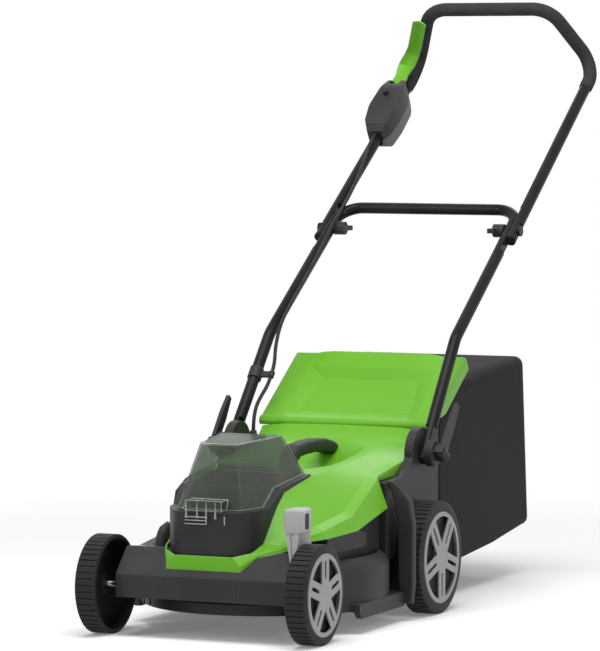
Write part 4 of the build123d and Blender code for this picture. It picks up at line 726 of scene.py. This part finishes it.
def between(rows, y):
    """The values of a table of rows at Y, straight between its rows."""
    if y <= rows[0][0]:
        return rows[0][1:]
    for a, b in zip(rows, rows[1:]):
        if y <= b[0]:
            part = (y - a[0]) / (b[0] - a[0])
            return tuple(u + (v - u) * part for u, v in zip(a[1:], b[1:]))
    return rows[-1][1:]


def ease(value, low, high):
    """0 below low, 1 above high and a soft slope between them."""
    part = min(1.0, max(0.0, (value - low) / (high - low)))
    return part * part * (3.0 - 2.0 * part)


class MOWER_OT_hood(bpy.types.Operator):
    """Hood with its finger bowl, the carry handle over it and the cable gland"""
    bl_idname = "mower.hood"
    bl_label = "Hood"

    def execute(self, context):
        rows = sorted({row[0] for row in HOOD_ROWS} | {HOUSING_BACK + 8.0 * k for k in range(41)}
                      | {100.0, 120.0, 140.0, 155.0})
        points, faces = [], []
        for side in (1.0, -1.0):
            self.sheet_of([self.flank(y, side) for y in rows], points, faces)
        top = [y for y in rows if y >= HOUSING_BACK]
        self.sheet_of([[self.deck_top(y, k / 20.0) for k in range(-20, 21)] for y in top], points, faces)
        self.sheet_of([self.flank(rows[0], side) for side in (1.0, -1.0)], points, faces)
        mesh = outward(mesh_of("hood_skin", points, faces))
        piece = new_piece("hood_skin", mesh, "green_plastic")
        smooth(walled(piece, HOOD_WALL * MM), 15.0)
        settle(piece, "chassis", "green_plastic", "hood")
        self.carry_handle()
        self.shoulder()
        self.skirt()
        dressed("cable_gland")
        return {"FINISHED"}

    def sheet_of(self, grid, points, faces):
        """Adds a grid of points and the faces between them."""
        start, wide = len(points), len(grid[0])
        points.extend(place(*p) for row in grid for p in row)
        for k in range(len(grid) - 1):
            for j in range(wide - 1):
                a = start + k * wide + j
                faces.append((a, a + 1, a + wide + 1, a + wide))

    def flank(self, y, side):
        """One section of a flank from its upper edge over the raised fold to its turned-in lip."""
        low_x, low_z, fold_x, fold_z, top_x, top_z = between(HOOD_ROWS, y)
        run = math.hypot(fold_x - top_x, fold_z - top_z)
        in_x, in_z = (top_x - fold_x) / run, (top_z - fold_z) / run
        rib = ease(y, 30.0, 84.0) * (1.0 - ease(y, 330.0, 430.0))
        reach = min(16.0, 0.4 * run)
        section = [(top_x, top_z), (0.5 * (top_x + fold_x) - 1.2 * rib, 0.5 * (top_z + fold_z) - 1.4 * rib)]
        section.append((fold_x + reach * in_x - 2.0 * rib, fold_z + reach * in_z - 2.6 * rib))
        section.append((fold_x + 0.6 * reach * in_x, fold_z + 0.6 * reach * in_z - 1.2 * rib))
        section.append((fold_x, fold_z + 1.4 * rib))
        section += [(fold_x + 0.9, fold_z - 1.0), (low_x, low_z), (low_x - 5.0, low_z - 0.8)]
        limit = 500.0 if side > 0 else max(between(RIGHT_LIMIT, y)[0], top_x + 2.0)
        return [(side * min(x, limit), y, z) for x, z in section]

    def deck_top(self, y, share):
        """A point of the upper face, which dips into the finger bowl under the carry handle."""
        top_x, top_z = between(HOOD_ROWS, y)[4:]
        x = share * top_x
        off_x, off_y = abs(x / BOWL_HALF_X), abs((y - BOWL_Y) / BOWL_HALF_Y)
        off = (off_x ** BOWL_SQUARE + off_y ** BOWL_SQUARE) ** (1 / BOWL_SQUARE)
        crown = 1.5 * (1.0 - share * share)
        return (x, y, top_z + crown - BOWL_DEPTH * (1.0 - ease(off, 0.52, 1.0)))

    def carry_handle(self):
        """The arched grip over the bowl, swept as a soft-cornered bar."""
        line = [(287, 231), (293, 247), (309, 256), (340, 258.6), (377, 259),
                (415, 256.6), (446, 250), (462, 240), (470, 226)]
        fine = bent_line([Vector((0.0, y, z)) for y, z in line], (9.0, 12.0, 20.0, 40.0, 40.0, 30.0, 14.0), 3.0)
        half_wide, half_high, square, around = 14.0, 11.0, 0.6, 24
        points = []
        for k, at in enumerate(fine):
            up = Vector((1.0, 0.0, 0.0)).cross(heading(fine, k))
            for c, n in circle(around):
                x = half_wide * math.copysign(abs(c) ** square, c)
                lift = half_high * math.copysign(abs(n) ** square, n)
                points.append(place(*(at + Vector((x, 0.0, 0.0)) + up * lift)))
        loft("carry_handle_skin", points, around, "dark_plastic", sharp=50.0, nodes=("carry_handle",))

    def skirt(self):
        """The upright wall under the hood's drawn-in right edge, down to the deck."""
        rows = [30, 64, 84, 120, 171, 230, 284]
        points = []
        for y in rows:
            edge_x, edge_y, edge_z = self.flank(y, -1.0)[-2]
            foot = between(RIGHT_TOP, y)[0] - 8.0
            outline = ((3.0, edge_z), (5.0, edge_z), (5.0, foot), (3.0, foot))
            points.extend(place(edge_x + x, edge_y, z) for x, z in outline)
        loft("hood_skirt", points, 4, "dark_plastic")

    def shoulder(self):
        """The rounded shoulder of the deck beside the battery housing, on the right."""
        around, rings = 32, 10
        mid_x, mid_y, half_x, half_y, foot, height = -99.0, 62.0, 17.0, 32.0, 97.0, 69.0
        points = []
        for k in range(rings):
            lift = k / (rings - 1)
            size = (1.0 - lift ** 3.0) ** 0.5 * 0.97 + 0.03
            for c, n in circle(around):
                points.append(place(mid_x + half_x * size * c, mid_y + half_y * size * n, foot + height * lift))
        loft("deck_shoulder", points, around, "dark_plastic", sharp=50.0)


class MOWER_OT_battery_bay(bpy.types.Operator):
    """Battery housing, its clear lid and what lies inside"""
    bl_idname = "mower.battery_bay"
    bl_label = "Battery bay"

    def execute(self, context):
        dress_all("battery_housing", "battery_lid", "lid_hinge_pin", "battery_docks", "dock_terminals", "safety_key")
        mesh = mesh_of("lid_tab_ribs", [place(x, -20.6, 183.0) for x in (-28.0, -10.0, 5.0, 20.0)])
        ribs = new_piece("lid_tab_ribs", mesh, "clear_plastic")
        set_row(ribs, rib_tree(), {"Foot": 2.0 * MM, "Tip": 0.5 * MM, "Height": 24.0 * MM})
        settle(baked(ribs), "lid_body", "clear_plastic")
        self.tab_frame()
        return {"FINISHED"}

    def tab_frame(self):
        """The lid's finger tab: a thin clear frame that hangs below the rim."""
        bars = [(-30, 6, 184, 185.4), (-30, 6, 179, 180.2), (4.8, 6, 174, 185.4),
                (-30, 6, 173.6, 174.8), (34.6, 36, 173.6, 187)]
        points, faces = [], []
        for x0, x1, z0, z1 in bars:
            start = len(points)
            corners = ((x0, z0), (x1, z0), (x1, z1), (x0, z1))
            points.extend(place(x, y, z) for y in (-21.6, -20.2) for x, z in corners)
            faces.extend(tuple(start + k for k in face) for face in tube_faces(2, 4, True))
        mesh = outward(mesh_of("lid_tab_frame", points, faces))
        settle(new_piece("lid_tab_frame", mesh, "clear_plastic"), "lid_body", "clear_plastic")


class MOWER_OT_drive(bpy.types.Operator):
    """Motor, controller and blade under the hood"""
    bl_idname = "mower.drive"
    bl_label = "Drive"

    def execute(self, context):
        dress_all("motor", "motor_screws", "motor_shaft", "controller_board", "blade_adapter", "blade", "blade_bolt")
        return {"FINISHED"}


# The flap's hinge line, its direction in Y and Z, its length, half width, wall and hinge barrel
FLAP_HINGE = (513.0, 283.0)
FLAP_WAY = (0.83597, 0.54878)
FLAP_RUN = 175.8
FLAP_HALF = 148.0
FLAP_WALL = 2.6
FLAP_BARREL = 6.3


class MOWER_OT_flap(bpy.types.Operator):
    """Rear flap with its sunk panel, its hinge rod and the hood's lip over the hinge"""
    bl_idname = "mower.flap"
    bl_label = "Rear flap"

    def execute(self, context):
        steps = [4, 12, 20, 30, 42, 56, 72, 88, 104, 122, 132, 142, 150, 158,
                 166, 172, FLAP_RUN]
        grid = [self.section(along) for along in steps]
        wide = len(grid[0])
        faces = []
        for k in range(len(grid) - 1):
            for j in range(wide - 1):
                a, b, c, d = k * wide + j, k * wide + j + 1, (k + 1) * wide + j + 1, (k + 1) * wide + j
                faces += [(a, b, c), (a, c, d)] if 2 * j >= wide - 1 else [(b, c, d), (b, d, a)]
        piece = new_piece("rear_flap_skin", outward(mesh_of("rear_flap_skin", sum(grid, []), faces)), "green_plastic")
        face_up = piece.data.polygons[len(faces) // 2].normal.z > 0
        mesh = walled(piece, FLAP_WALL * MM, -1.0 if face_up else 1.0)
        work = bmesh.new()
        work.from_mesh(mesh)
        start, around = len(work.verts), 20
        for x in (-FLAP_HALF, FLAP_HALF):
            for c, n in circle(around):
                work.verts.new(place(x, FLAP_HINGE[0] + FLAP_BARREL * c, FLAP_HINGE[1] + FLAP_BARREL * n))
        work.verts.ensure_lookup_table()
        for face in tube_faces(2, around, True):
            work.faces.new([work.verts[start + k] for k in face])
        bmesh.ops.recalc_face_normals(work, faces=work.faces)
        work.to_mesh(mesh)
        work.free()
        smooth(mesh, 14.0)
        settle(piece, "flap_body", "green_plastic", "rear_flap")
        dressed("flap_hinge_rod")
        self.lip()
        return {"FINISHED"}

    def section(self, along):
        """One row across the flap: skirt, frame, slope, sunk panel and back again."""
        top = min(1.0, max(0.0, (142.0 - along) / 20.0))
        foot = ease(along, 2.0, 34.0)
        outer = 119.0 - 6.0 * along / 142.0
        inner = outer - 15.0 - 15.0 * min(1.0, along / 122.0)
        right = [(0.0, 1.0), (0.33 * inner, 1.0), (0.67 * inner, 1.0), (inner, 1.0), (0.5 * (inner + outer), 0.5),
                 (outer, 0.0), (130.0, 0.0), (145.5, 0.0)]
        crown = 5.0 * ease(along, 150.0, 174.0)
        row = [(x, 3.0 - 10.0 * min(part, top) * foot + crown * (1.0 - ease(x, 84.0, 116.0))) for x, part in right]
        drop = 19.0 * ease(along, 10.0, 60.0)
        row += [(147.4, 2.2), (FLAP_HALF, 0.6), (FLAP_HALF, 0.5 - 0.5 * drop), (FLAP_HALF - 0.4, 0.4 - drop)]
        both = [(-x, above) for x, above in reversed(row[1:])] + row
        return [place(x, FLAP_HINGE[0] + along * FLAP_WAY[0] - above * FLAP_WAY[1],
                      FLAP_HINGE[1] + along * FLAP_WAY[1] + above * FLAP_WAY[0]) for x, above in both]

    def lip(self):
        """A quarter-round lip along the hood's rear edge that covers the hinge from the front."""
        outline = [(9.0, 106.0 + 10.0 * k) for k in range(12)] + [(7.3, 216.0 - 10.0 * k) for k in range(12)]
        points = []
        for x in (-FLAP_HALF, 0.6 - FLAP_HALF, FLAP_HALF - 0.6, FLAP_HALF):
            for radius, angle in outline:
                radius -= 0.4 if abs(x) == FLAP_HALF and radius == 9.0 else 0.0
                turn = math.radians(angle)
                points.append(place(x, FLAP_HINGE[0] + radius * math.cos(turn),
                                    FLAP_HINGE[1] + radius * math.sin(turn)))
        loft("hinge_lip", points, len(outline), "green_plastic")


# The bag's sections from its mouth to its back: lower Y and Z, upper Y and Z, half width, in millimetres
BAG_SECTIONS = [
    (560, 62, 560, 294, 143),
    (640, 54, 628, 342, 148),
    (800, 67, 776, 360, 150),
    (940, 84, 914, 369, 150),
    (953, 96, 927, 359, 138),
]
BAG_CORNER = 14.0
BAG_RINGS = [6, 12, 11, 3]
BACK_RINGS = 7
BACK_SWELL = 4.0
SIDE_STEPS = 14
CORNER_STEPS = 5


def hang_at(share):
    """How freely the panels hang: not at all at the mouth and the back panel."""
    return math.sin(math.pi * min(1.0, share / 3.0)) ** 0.8 if share < 3.0 else 0.0


def bag_row(share):
    """A section between two of the bag's own, at a share of their count."""
    first = min(int(share), len(BAG_SECTIONS) - 2)
    part = share - first
    return [a + (b - a) * part for a, b in zip(BAG_SECTIONS[first], BAG_SECTIONS[first + 1])]


def rounded_loop(half_w, half_h, corner):
    """Points of a rounded rectangle, from the middle of its lower side, anticlockwise."""
    sides = [((1, -1), -90), ((1, 1), 0), ((-1, 1), 90), ((-1, -1), 180)]
    loop = []
    for (sx, sz), start in sides:
        centre = (sx * (half_w - corner), sz * (half_h - corner))
        for k in range(CORNER_STEPS + 1):
            turn = math.radians(start + 90.0 * k / CORNER_STEPS)
            loop.append((centre[0] + corner * math.cos(turn), centre[1] + corner * math.sin(turn)))
        nxt = sides[(sides.index(((sx, sz), start)) + 1) % 4][0]
        to = (nxt[0] * (half_w - corner), nxt[1] * (half_h - corner))
        edge = math.radians(start + 90.0)
        to = (to[0] + corner * math.cos(edge), to[1] + corner * math.sin(edge))
        begin = loop[-1]
        for k in range(1, SIDE_STEPS):
            loop.append(tuple(a + (b - a) * k / SIDE_STEPS for a, b in zip(begin, to)))
    return loop


def bag_ring(row, proud, sag, hang):
    """One ring of the bag: its panels hang in at the top and sides and out at the floor."""
    low_y, low_z, high_y, high_z, half_x = row
    height = math.hypot(high_y - low_y, high_z - low_z)
    ring = []
    for x, s in rounded_loop(half_x + proud, height / 2 + proud, BAG_CORNER + proud):
        flat_x = max(0.0, 1.0 - (x / half_x) ** 2)
        flat_s = max(0.0, 1.0 - (2 * s / height) ** 2)
        drop = sag * hang * flat_x * (0.2 if s > 0 else 0.8)
        pull = 0.5 * sag * hang * flat_s * (1.0 if x > 0 else -1.0)
        share = (s + height / 2) / height
        y = low_y + (high_y - low_y) * share
        z = low_z + (high_z - low_z) * share
        ripple = 0.7 * hang * noise.noise(Vector((x, y, z)) * 0.018)
        ring.append(place(x - pull + ripple, y, z - drop + ripple))
    return ring


class MOWER_OT_bag(bpy.types.Operator):
    """Sewn grass bag that hangs from its mouth frame"""
    bl_idname = "mower.bag"
    bl_label = "Grass bag"

    def execute(self, context):
        sizes = context.scene.mower_sizes
        shares = [k + j / count for k, count in enumerate(BAG_RINGS) for j in range(count)] + [len(BAG_RINGS)]
        sag = sizes.bag_sag / MM
        rings = []
        for share in shares:
            rings.append(bag_ring(bag_row(share), 0.0, sag, hang_at(share)))
        edge, around = rings[-1], len(rings[0])
        centre = sum(edge, Vector()) / around
        for k in range(1, BACK_RINGS):
            part = k / BACK_RINGS
            swell = Vector((0.0, BACK_SWELL * MM * math.sin(math.pi / 2 * part), 0.0))
            rings.append([p.lerp(centre, part) + swell for p in edge])
        points = [p for ring in rings for p in ring]
        faces = tube_faces(len(rings), around, False)
        last = len(points) - around
        points.append(centre + Vector((0.0, BACK_SWELL * MM, 0.0)))
        faces.extend((last + j, last + (j + 1) % around, len(points) - 1) for j in range(around))
        mesh = outward(mesh_of("grass_bag_cloth", points, faces))
        self.measure(mesh)
        shell = new_piece("grass_bag_cloth", mesh, "bag_fabric")
        smooth(walled(shell, sizes.bag_cloth), 60.0)
        settle(shell, "bag_body", "bag_fabric", "grass_bag")
        trims = [self.binding(), *self.seams(sizes)]
        dress_all("bag_frame", "bag_handle")
        return {"FINISHED"}

    def measure(self, mesh):
        """Gives the cloth its own measure: metres round the bag and metres along it."""
        layer = mesh.uv_layers.new(name="cloth")
        for face in mesh.polygons:
            n = face.normal
            for loop in face.loop_indices:
                p = mesh.vertices[mesh.loops[loop].vertex_index].co
                if abs(n.y) > 0.8:
                    layer.data[loop].uv = (p.x, p.z)
                elif abs(n.x) > abs(n.z):
                    layer.data[loop].uv = (p.z, p.y)
                else:
                    layer.data[loop].uv = (p.x, p.y)

    def binding(self):
        """The tape that binds the cloth to the mouth frame."""
        rings = [bag_ring(bag_row(share), proud, 0.0, 0.0)
                 for share, proud in ((0.0, 0.1), (0.0, 1.3), (0.15, 1.5), (0.16, 0.1))]
        around = len(rings[0])
        mesh = outward(mesh_of("bag_binding", [p for ring in rings for p in ring], tube_faces(4, around, False)))
        self.measure(mesh)
        smooth(mesh, 50.0)
        return settle(new_piece("bag_binding", mesh, "bag_fabric"), "bag_body", "bag_fabric")

    def seams(self, sizes):
        """Rows of stitches along the long edges and round the back panel."""
        corner = CORNER_STEPS + SIDE_STEPS
        lines = []
        for side in (corner, 2 * corner, CORNER_STEPS + corner, CORNER_STEPS + 2 * corner):
            line = []
            for k in range(10, 29):
                share = k / 10
                ring = bag_ring(bag_row(share), 0.15, sizes.bag_sag / MM, hang_at(share))
                line.append(ring[side % (4 * corner)])
            lines.append(line)
        back = bag_ring(bag_row(3.0), 0.15, 0.0, 0.0)
        lines.append(back + back[:1])
        points = [p for line in lines for p in line]
        edges = []
        start = 0
        for line in lines:
            edges.extend((start + k, start + k + 1) for k in range(len(line) - 1))
            start += len(line)
        piece = new_piece("bag_stitches", mesh_of("bag_stitches", points, edges=edges), "bag_fabric")
        set_row(piece, stitch_tree(), {"Step": sizes.stitch_step, "Length": sizes.stitch, "Radius": 0.45 * MM})
        return [settle(baked(piece), "bag_body", "bag_fabric")]


def open_tree(name, lengths):
    """A tree with named inputs, and the wires that come from them."""
    group = bpy.data.node_groups.new(name, "GeometryNodeTree")
    kinds = [("Geometry", "Geometry"), *((length, "Float") for length in lengths), ("Material", "Material")]
    for label, kind in kinds:
        group.interface.new_socket(label, in_out="INPUT", socket_type="NodeSocket" + kind)
    group.interface.new_socket("Geometry", in_out="OUTPUT", socket_type="NodeSocketGeometry")
    net = Net(group)
    given = group.nodes.new("NodeGroupInput")
    return net, {socket.name: Wire(net, socket) for socket in given.outputs}


def close_tree(net, take, sockets):
    """Puts a shape on each point, makes the copies real and colours them."""
    row = net.node("GeometryNodeInstanceOnPoints", None, sockets)
    whole = net.node("GeometryNodeRealizeInstances", None, {"Geometry": row})
    coloured = net.node("GeometryNodeSetMaterial", None, {"Geometry": whole, "Material": take["Material"]})
    net.node("NodeGroupOutput", None, {"Geometry": coloured})
    return net.tree


def stitch_tree():
    """Short threads laid end to end along a line."""
    net, take = open_tree("thread_row", ("Step", "Length", "Radius"))
    line = net.node("GeometryNodeMeshToCurve", None, {"Mesh": take["Geometry"]})
    spots = net.node("GeometryNodeResampleCurve", {"mode": "LENGTH"}, {"Curve": line, "Length": take["Step"]})
    thread = net.node("GeometryNodeMeshCylinder", None,
                      {"Vertices": 6, "Radius": take["Radius"], "Depth": take["Length"]})
    lie = net.node("FunctionNodeAlignRotationToVector", {"axis": "Z"},
                   {"Vector": net.node("GeometryNodeInputTangent")})
    return close_tree(net, take, {"Points": spots, "Instance": thread, "Rotation": lie})


def rib_tree():
    """An upright tapered rib on each point."""
    net, take = open_tree("rib_row", ("Foot", "Tip", "Height"))
    rib = net.node("GeometryNodeMeshCone", None, {"Vertices": 6, "Radius Top": take["Tip"],
                                                  "Radius Bottom": take["Foot"], "Depth": take["Height"]})
    return close_tree(net, take, {"Points": take["Geometry"], "Instance": rib})


def set_row(piece, group, values):
    """Puts a tree on a piece and fills its named inputs."""
    modifier = piece.modifiers.new(group.name, "NODES")
    modifier.node_group = group
    keys = {item.name: item.identifier for item in group.interface.items_tree if item.in_out == "INPUT"}
    for name, value in values.items():
        modifier[keys[name]] = value
    modifier[keys["Material"]] = piece.data.materials[0]


class MOWER_OT_handles(bpy.types.Operator):
    """Folding handle with its knobs, clamps and foam grip"""
    bl_idname = "mower.handles"
    bl_label = "Handles"

    def execute(self, context):
        for side in ("left", "right"):
            dress_all("wing_knob_" + side, "pivot_clamp_" + side, "cam_lever_" + side)
        dress_all("lower_handle", "upper_handle")
        dressed("handle_bolts", slot="tube_black")
        self.grip(context.scene.mower_sizes.grip / 2)
        return {"FINISHED"}

    def grip(self, radius):
        """The foam sleeve, a little uneven along its length, with rounded ends."""
        knob = Vector((171.0, 824.0, 583.2))
        wide = Vector((166.0, 1224.3, 852.7))
        top = Vector((111.3, 1140.9, 953.6))
        leg = (wide - knob).normalized()
        half = [wide - leg * 66.0, wide, top]
        route = half + [Vector((-p.x, p.y, p.z)) for p in reversed(half)]
        line = bent_line(route, (40.0, 48.0, 48.0, 40.0), 3.0)
        around = 28
        points = []
        for k, at in enumerate(line):
            ahead = heading(line, k)
            side = ahead.cross(Vector((0.0, 0.6, -0.8))).normalized()
            up = side.cross(ahead)
            end = min(k, len(line) - 1 - k)
            close = {0: 0.86, 1: 0.97}.get(end, 1.0)
            for c, n in circle(around):
                out = side * c + up * n
                swell = 0.12 * noise.noise((at + out * 8.0) * 0.05)
                points.append(place(*(at + out * (radius / MM * close + swell))))
        piece = loft("foam_grip", points, around, "grip_foam", "upper_handle_body", 60.0, ("grip_sleeve",))


def bent_line(route, radii, step):
    """Points along straight runs joined by arcs, about one step apart, as a tube bender makes them."""
    line = [route[0]]

    def straight(to):
        start = line[-1]
        count = max(1, round((to - start).length / step))
        line.extend(start.lerp(to, k / count) for k in range(1, count + 1))

    for before, at, after, radius in zip(route, route[1:], route[2:], radii):
        arrive, leave = (at - before).normalized(), (after - at).normalized()
        turn = arrive.angle(leave)
        reach = radius * math.tan(turn / 2)
        begin, end = at - arrive * reach, at + leave * reach
        straight(begin)
        centre = at + (leave - arrive).normalized() * (radius / math.cos(turn / 2))
        steps = max(2, round(radius * turn / step))
        for k in range(1, steps + 1):
            line.append(centre + radius * (begin - centre).normalized().slerp((end - centre).normalized(), k / steps))
    straight(route[-1])
    return line


# The switch box: its middle and the handle leg's direction in Y and Z, and where its outer side begins in X
BOX_MIDDLE = (1089.914, 762.233)
LEG_WAY = (0.82954, 0.55844)
BOX_OUTER = -168.0


class MOWER_OT_controls(bpy.types.Operator):
    """Switch box, bail lever and lock button"""
    bl_idname = "mower.controls"
    bl_label = "Controls"

    def execute(self, context):
        dressed("switch_box_upper", 22.0, move=self.fuller)
        dressed("switch_box_lower", 22.0, slot="switch_gray", move=self.fuller)
        dressed("lock_button", move=self.fuller)
        dressed("bail_lever", move=self.wider)
        dressed("bail_pin")
        return {"FINISHED"}

    def fuller(self, x, y, z):
        """Swells the box away from the tube, and draws in and lengthens its upper end."""
        (mid_y, mid_z), (way_y, way_z) = BOX_MIDDLE, LEG_WAY
        across_y, across_z = y - mid_y, z - mid_z
        along = way_y * across_y + way_z * across_z
        above = way_y * across_z - way_z * across_y
        above *= 1.22 + 0.16 * along / 62.0 if above > 0 else 1.45
        upper = ease(along, -45.0, 62.0)
        if x < BOX_OUTER:
            x = BOX_OUTER + (x - BOX_OUTER) * (1.0 - 0.42 * upper)
        along += 9.0 * upper
        return (x, mid_y + way_y * along - way_z * above, mid_z + way_z * along + way_y * above)

    def wider(self, x, y, z):
        """Widens the lever's stem towards the box, so that it runs into its palm rest."""
        middle, most = -163.0, 0.7
        return (middle + (x - middle) * (1.0 + most * (1.0 - ease(z, 830.0, 880.0))), y, z)


# The power cable's route from the switch box to its gland in the hood, in millimetres
CABLE_ROUTE = [
    (-167.7, 1035.1, 741.5), (-167.7, 1006.1, 722), (-160.2, 962.5, 690.9), (-154.8, 916, 657.8),
    (-150.4, 868.2, 628.6), (-148.9, 821.1, 601.8), (-148.2, 767.3, 562.7), (-149.5, 724.3, 528),
    (-149.8, 675.3, 493.4), (-149.6, 626.8, 461.5), (-147.4, 587.2, 434.4), (-144, 559.9, 400.3),
    (-137, 541.3, 371.6), (-137, 515.8, 340.7), (-136, 482, 322), (-134.5, 461, 307),
    (-134, 452, 285), (-134, 452, 271),
]
CLIP_AT = 13


class MOWER_OT_cable(bpy.types.Operator):
    """Power cable from the switch box down the right leg, held by a clip"""
    bl_idname = "mower.cable"
    bl_label = "Power cable"

    def execute(self, context):
        diameter = context.scene.mower_sizes.cable
        route = [place(*p) for p in CABLE_ROUTE]
        clip = (route[CLIP_AT - 1] + route[CLIP_AT]) / 2
        self.stretch("cable_along_leg", route[:CLIP_AT] + [clip], diameter,
                     ("upper_handle_body", "lower_handle_body"), (route[4], route[7]),
                     ("cable_upper", "cable_fold", "cable_lower"))
        self.stretch("cable_to_hood", [clip] + route[CLIP_AT:], diameter,
                     ("lower_handle_body", "chassis"), (route[CLIP_AT], route[-2]), ("cable_deck",))
        dressed("cable_clip")
        return {"FINISHED"}

    def stretch(self, name, points, diameter, bodies, bend, nodes):
        """A smooth tube through the route's points; the bodies and the bend that it is given are not used."""
        data = bpy.data.curves.new(name, "CURVE")
        data.dimensions = "3D"
        spline = data.splines.new("NURBS")
        spline.points.add(len(points) - 1)
        for spot, p in zip(spline.points, points):
            spot.co = (*p, 1.0)
        spline.order_u = 3
        spline.use_endpoint_u = True
        spline.resolution_u = 10
        guide = bpy.data.objects.new(name + "_guide", data)
        bpy.context.scene.collection.objects.link(guide)
        line = bpy.data.meshes.new_from_object(guide)
        data.bevel_depth = diameter / 2
        data.bevel_resolution = 4
        data.use_fill_caps = True
        mesh = outward(bpy.data.meshes.new_from_object(guide))
        bpy.data.objects.remove(guide)
        smooth(mesh, 50.0)
        piece = new_piece(name, mesh, "cable_rubber")
        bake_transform(piece)
        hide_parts(*nodes)


class MOWER_PT_panel(bpy.types.Panel):
    """Lists the mower's pieces and their settings"""
    bl_idname = "MOWER_PT_panel"
    bl_label = "Lawn mower"
    bl_space_type = "VIEW_3D"
    bl_region_type = "UI"
    bl_category = "Mower"

    def draw(self, context):
        for operator in OPERATORS:
            self.layout.operator(operator.bl_idname)
        for group in (context.scene.mower_sizes, context.scene.mower_colours, context.scene.mower_stage):
            box = self.layout.box()
            for name in group.__annotations__:
                box.prop(group, name)


GROUPS = {"mower_colours": MowerColours, "mower_sizes": MowerSizes, "mower_stage": MowerStage}
OPERATORS = [
    MOWER_OT_stage, MOWER_OT_cable, MOWER_OT_wheels, MOWER_OT_deck, MOWER_OT_hood, MOWER_OT_battery_bay,
    MOWER_OT_drive, MOWER_OT_flap, MOWER_OT_bag, MOWER_OT_handles, MOWER_OT_controls,
]


def register():
    for kind in [*GROUPS.values(), *OPERATORS, MOWER_PT_panel]:
        bpy.utils.register_class(kind)
    for name, group in GROUPS.items():
        setattr(bpy.types.Scene, name, PointerProperty(type=group))


def unregister():
    for name in GROUPS:
        delattr(bpy.types.Scene, name)
    for kind in reversed([*GROUPS.values(), *OPERATORS, MOWER_PT_panel]):
        bpy.utils.unregister_class(kind)


def main():
    register()
    for operator in OPERATORS:
        group, name = operator.bl_idname.split(".")
        getattr(getattr(bpy.ops, group), name)()


if __name__ == "__main__":
    main()
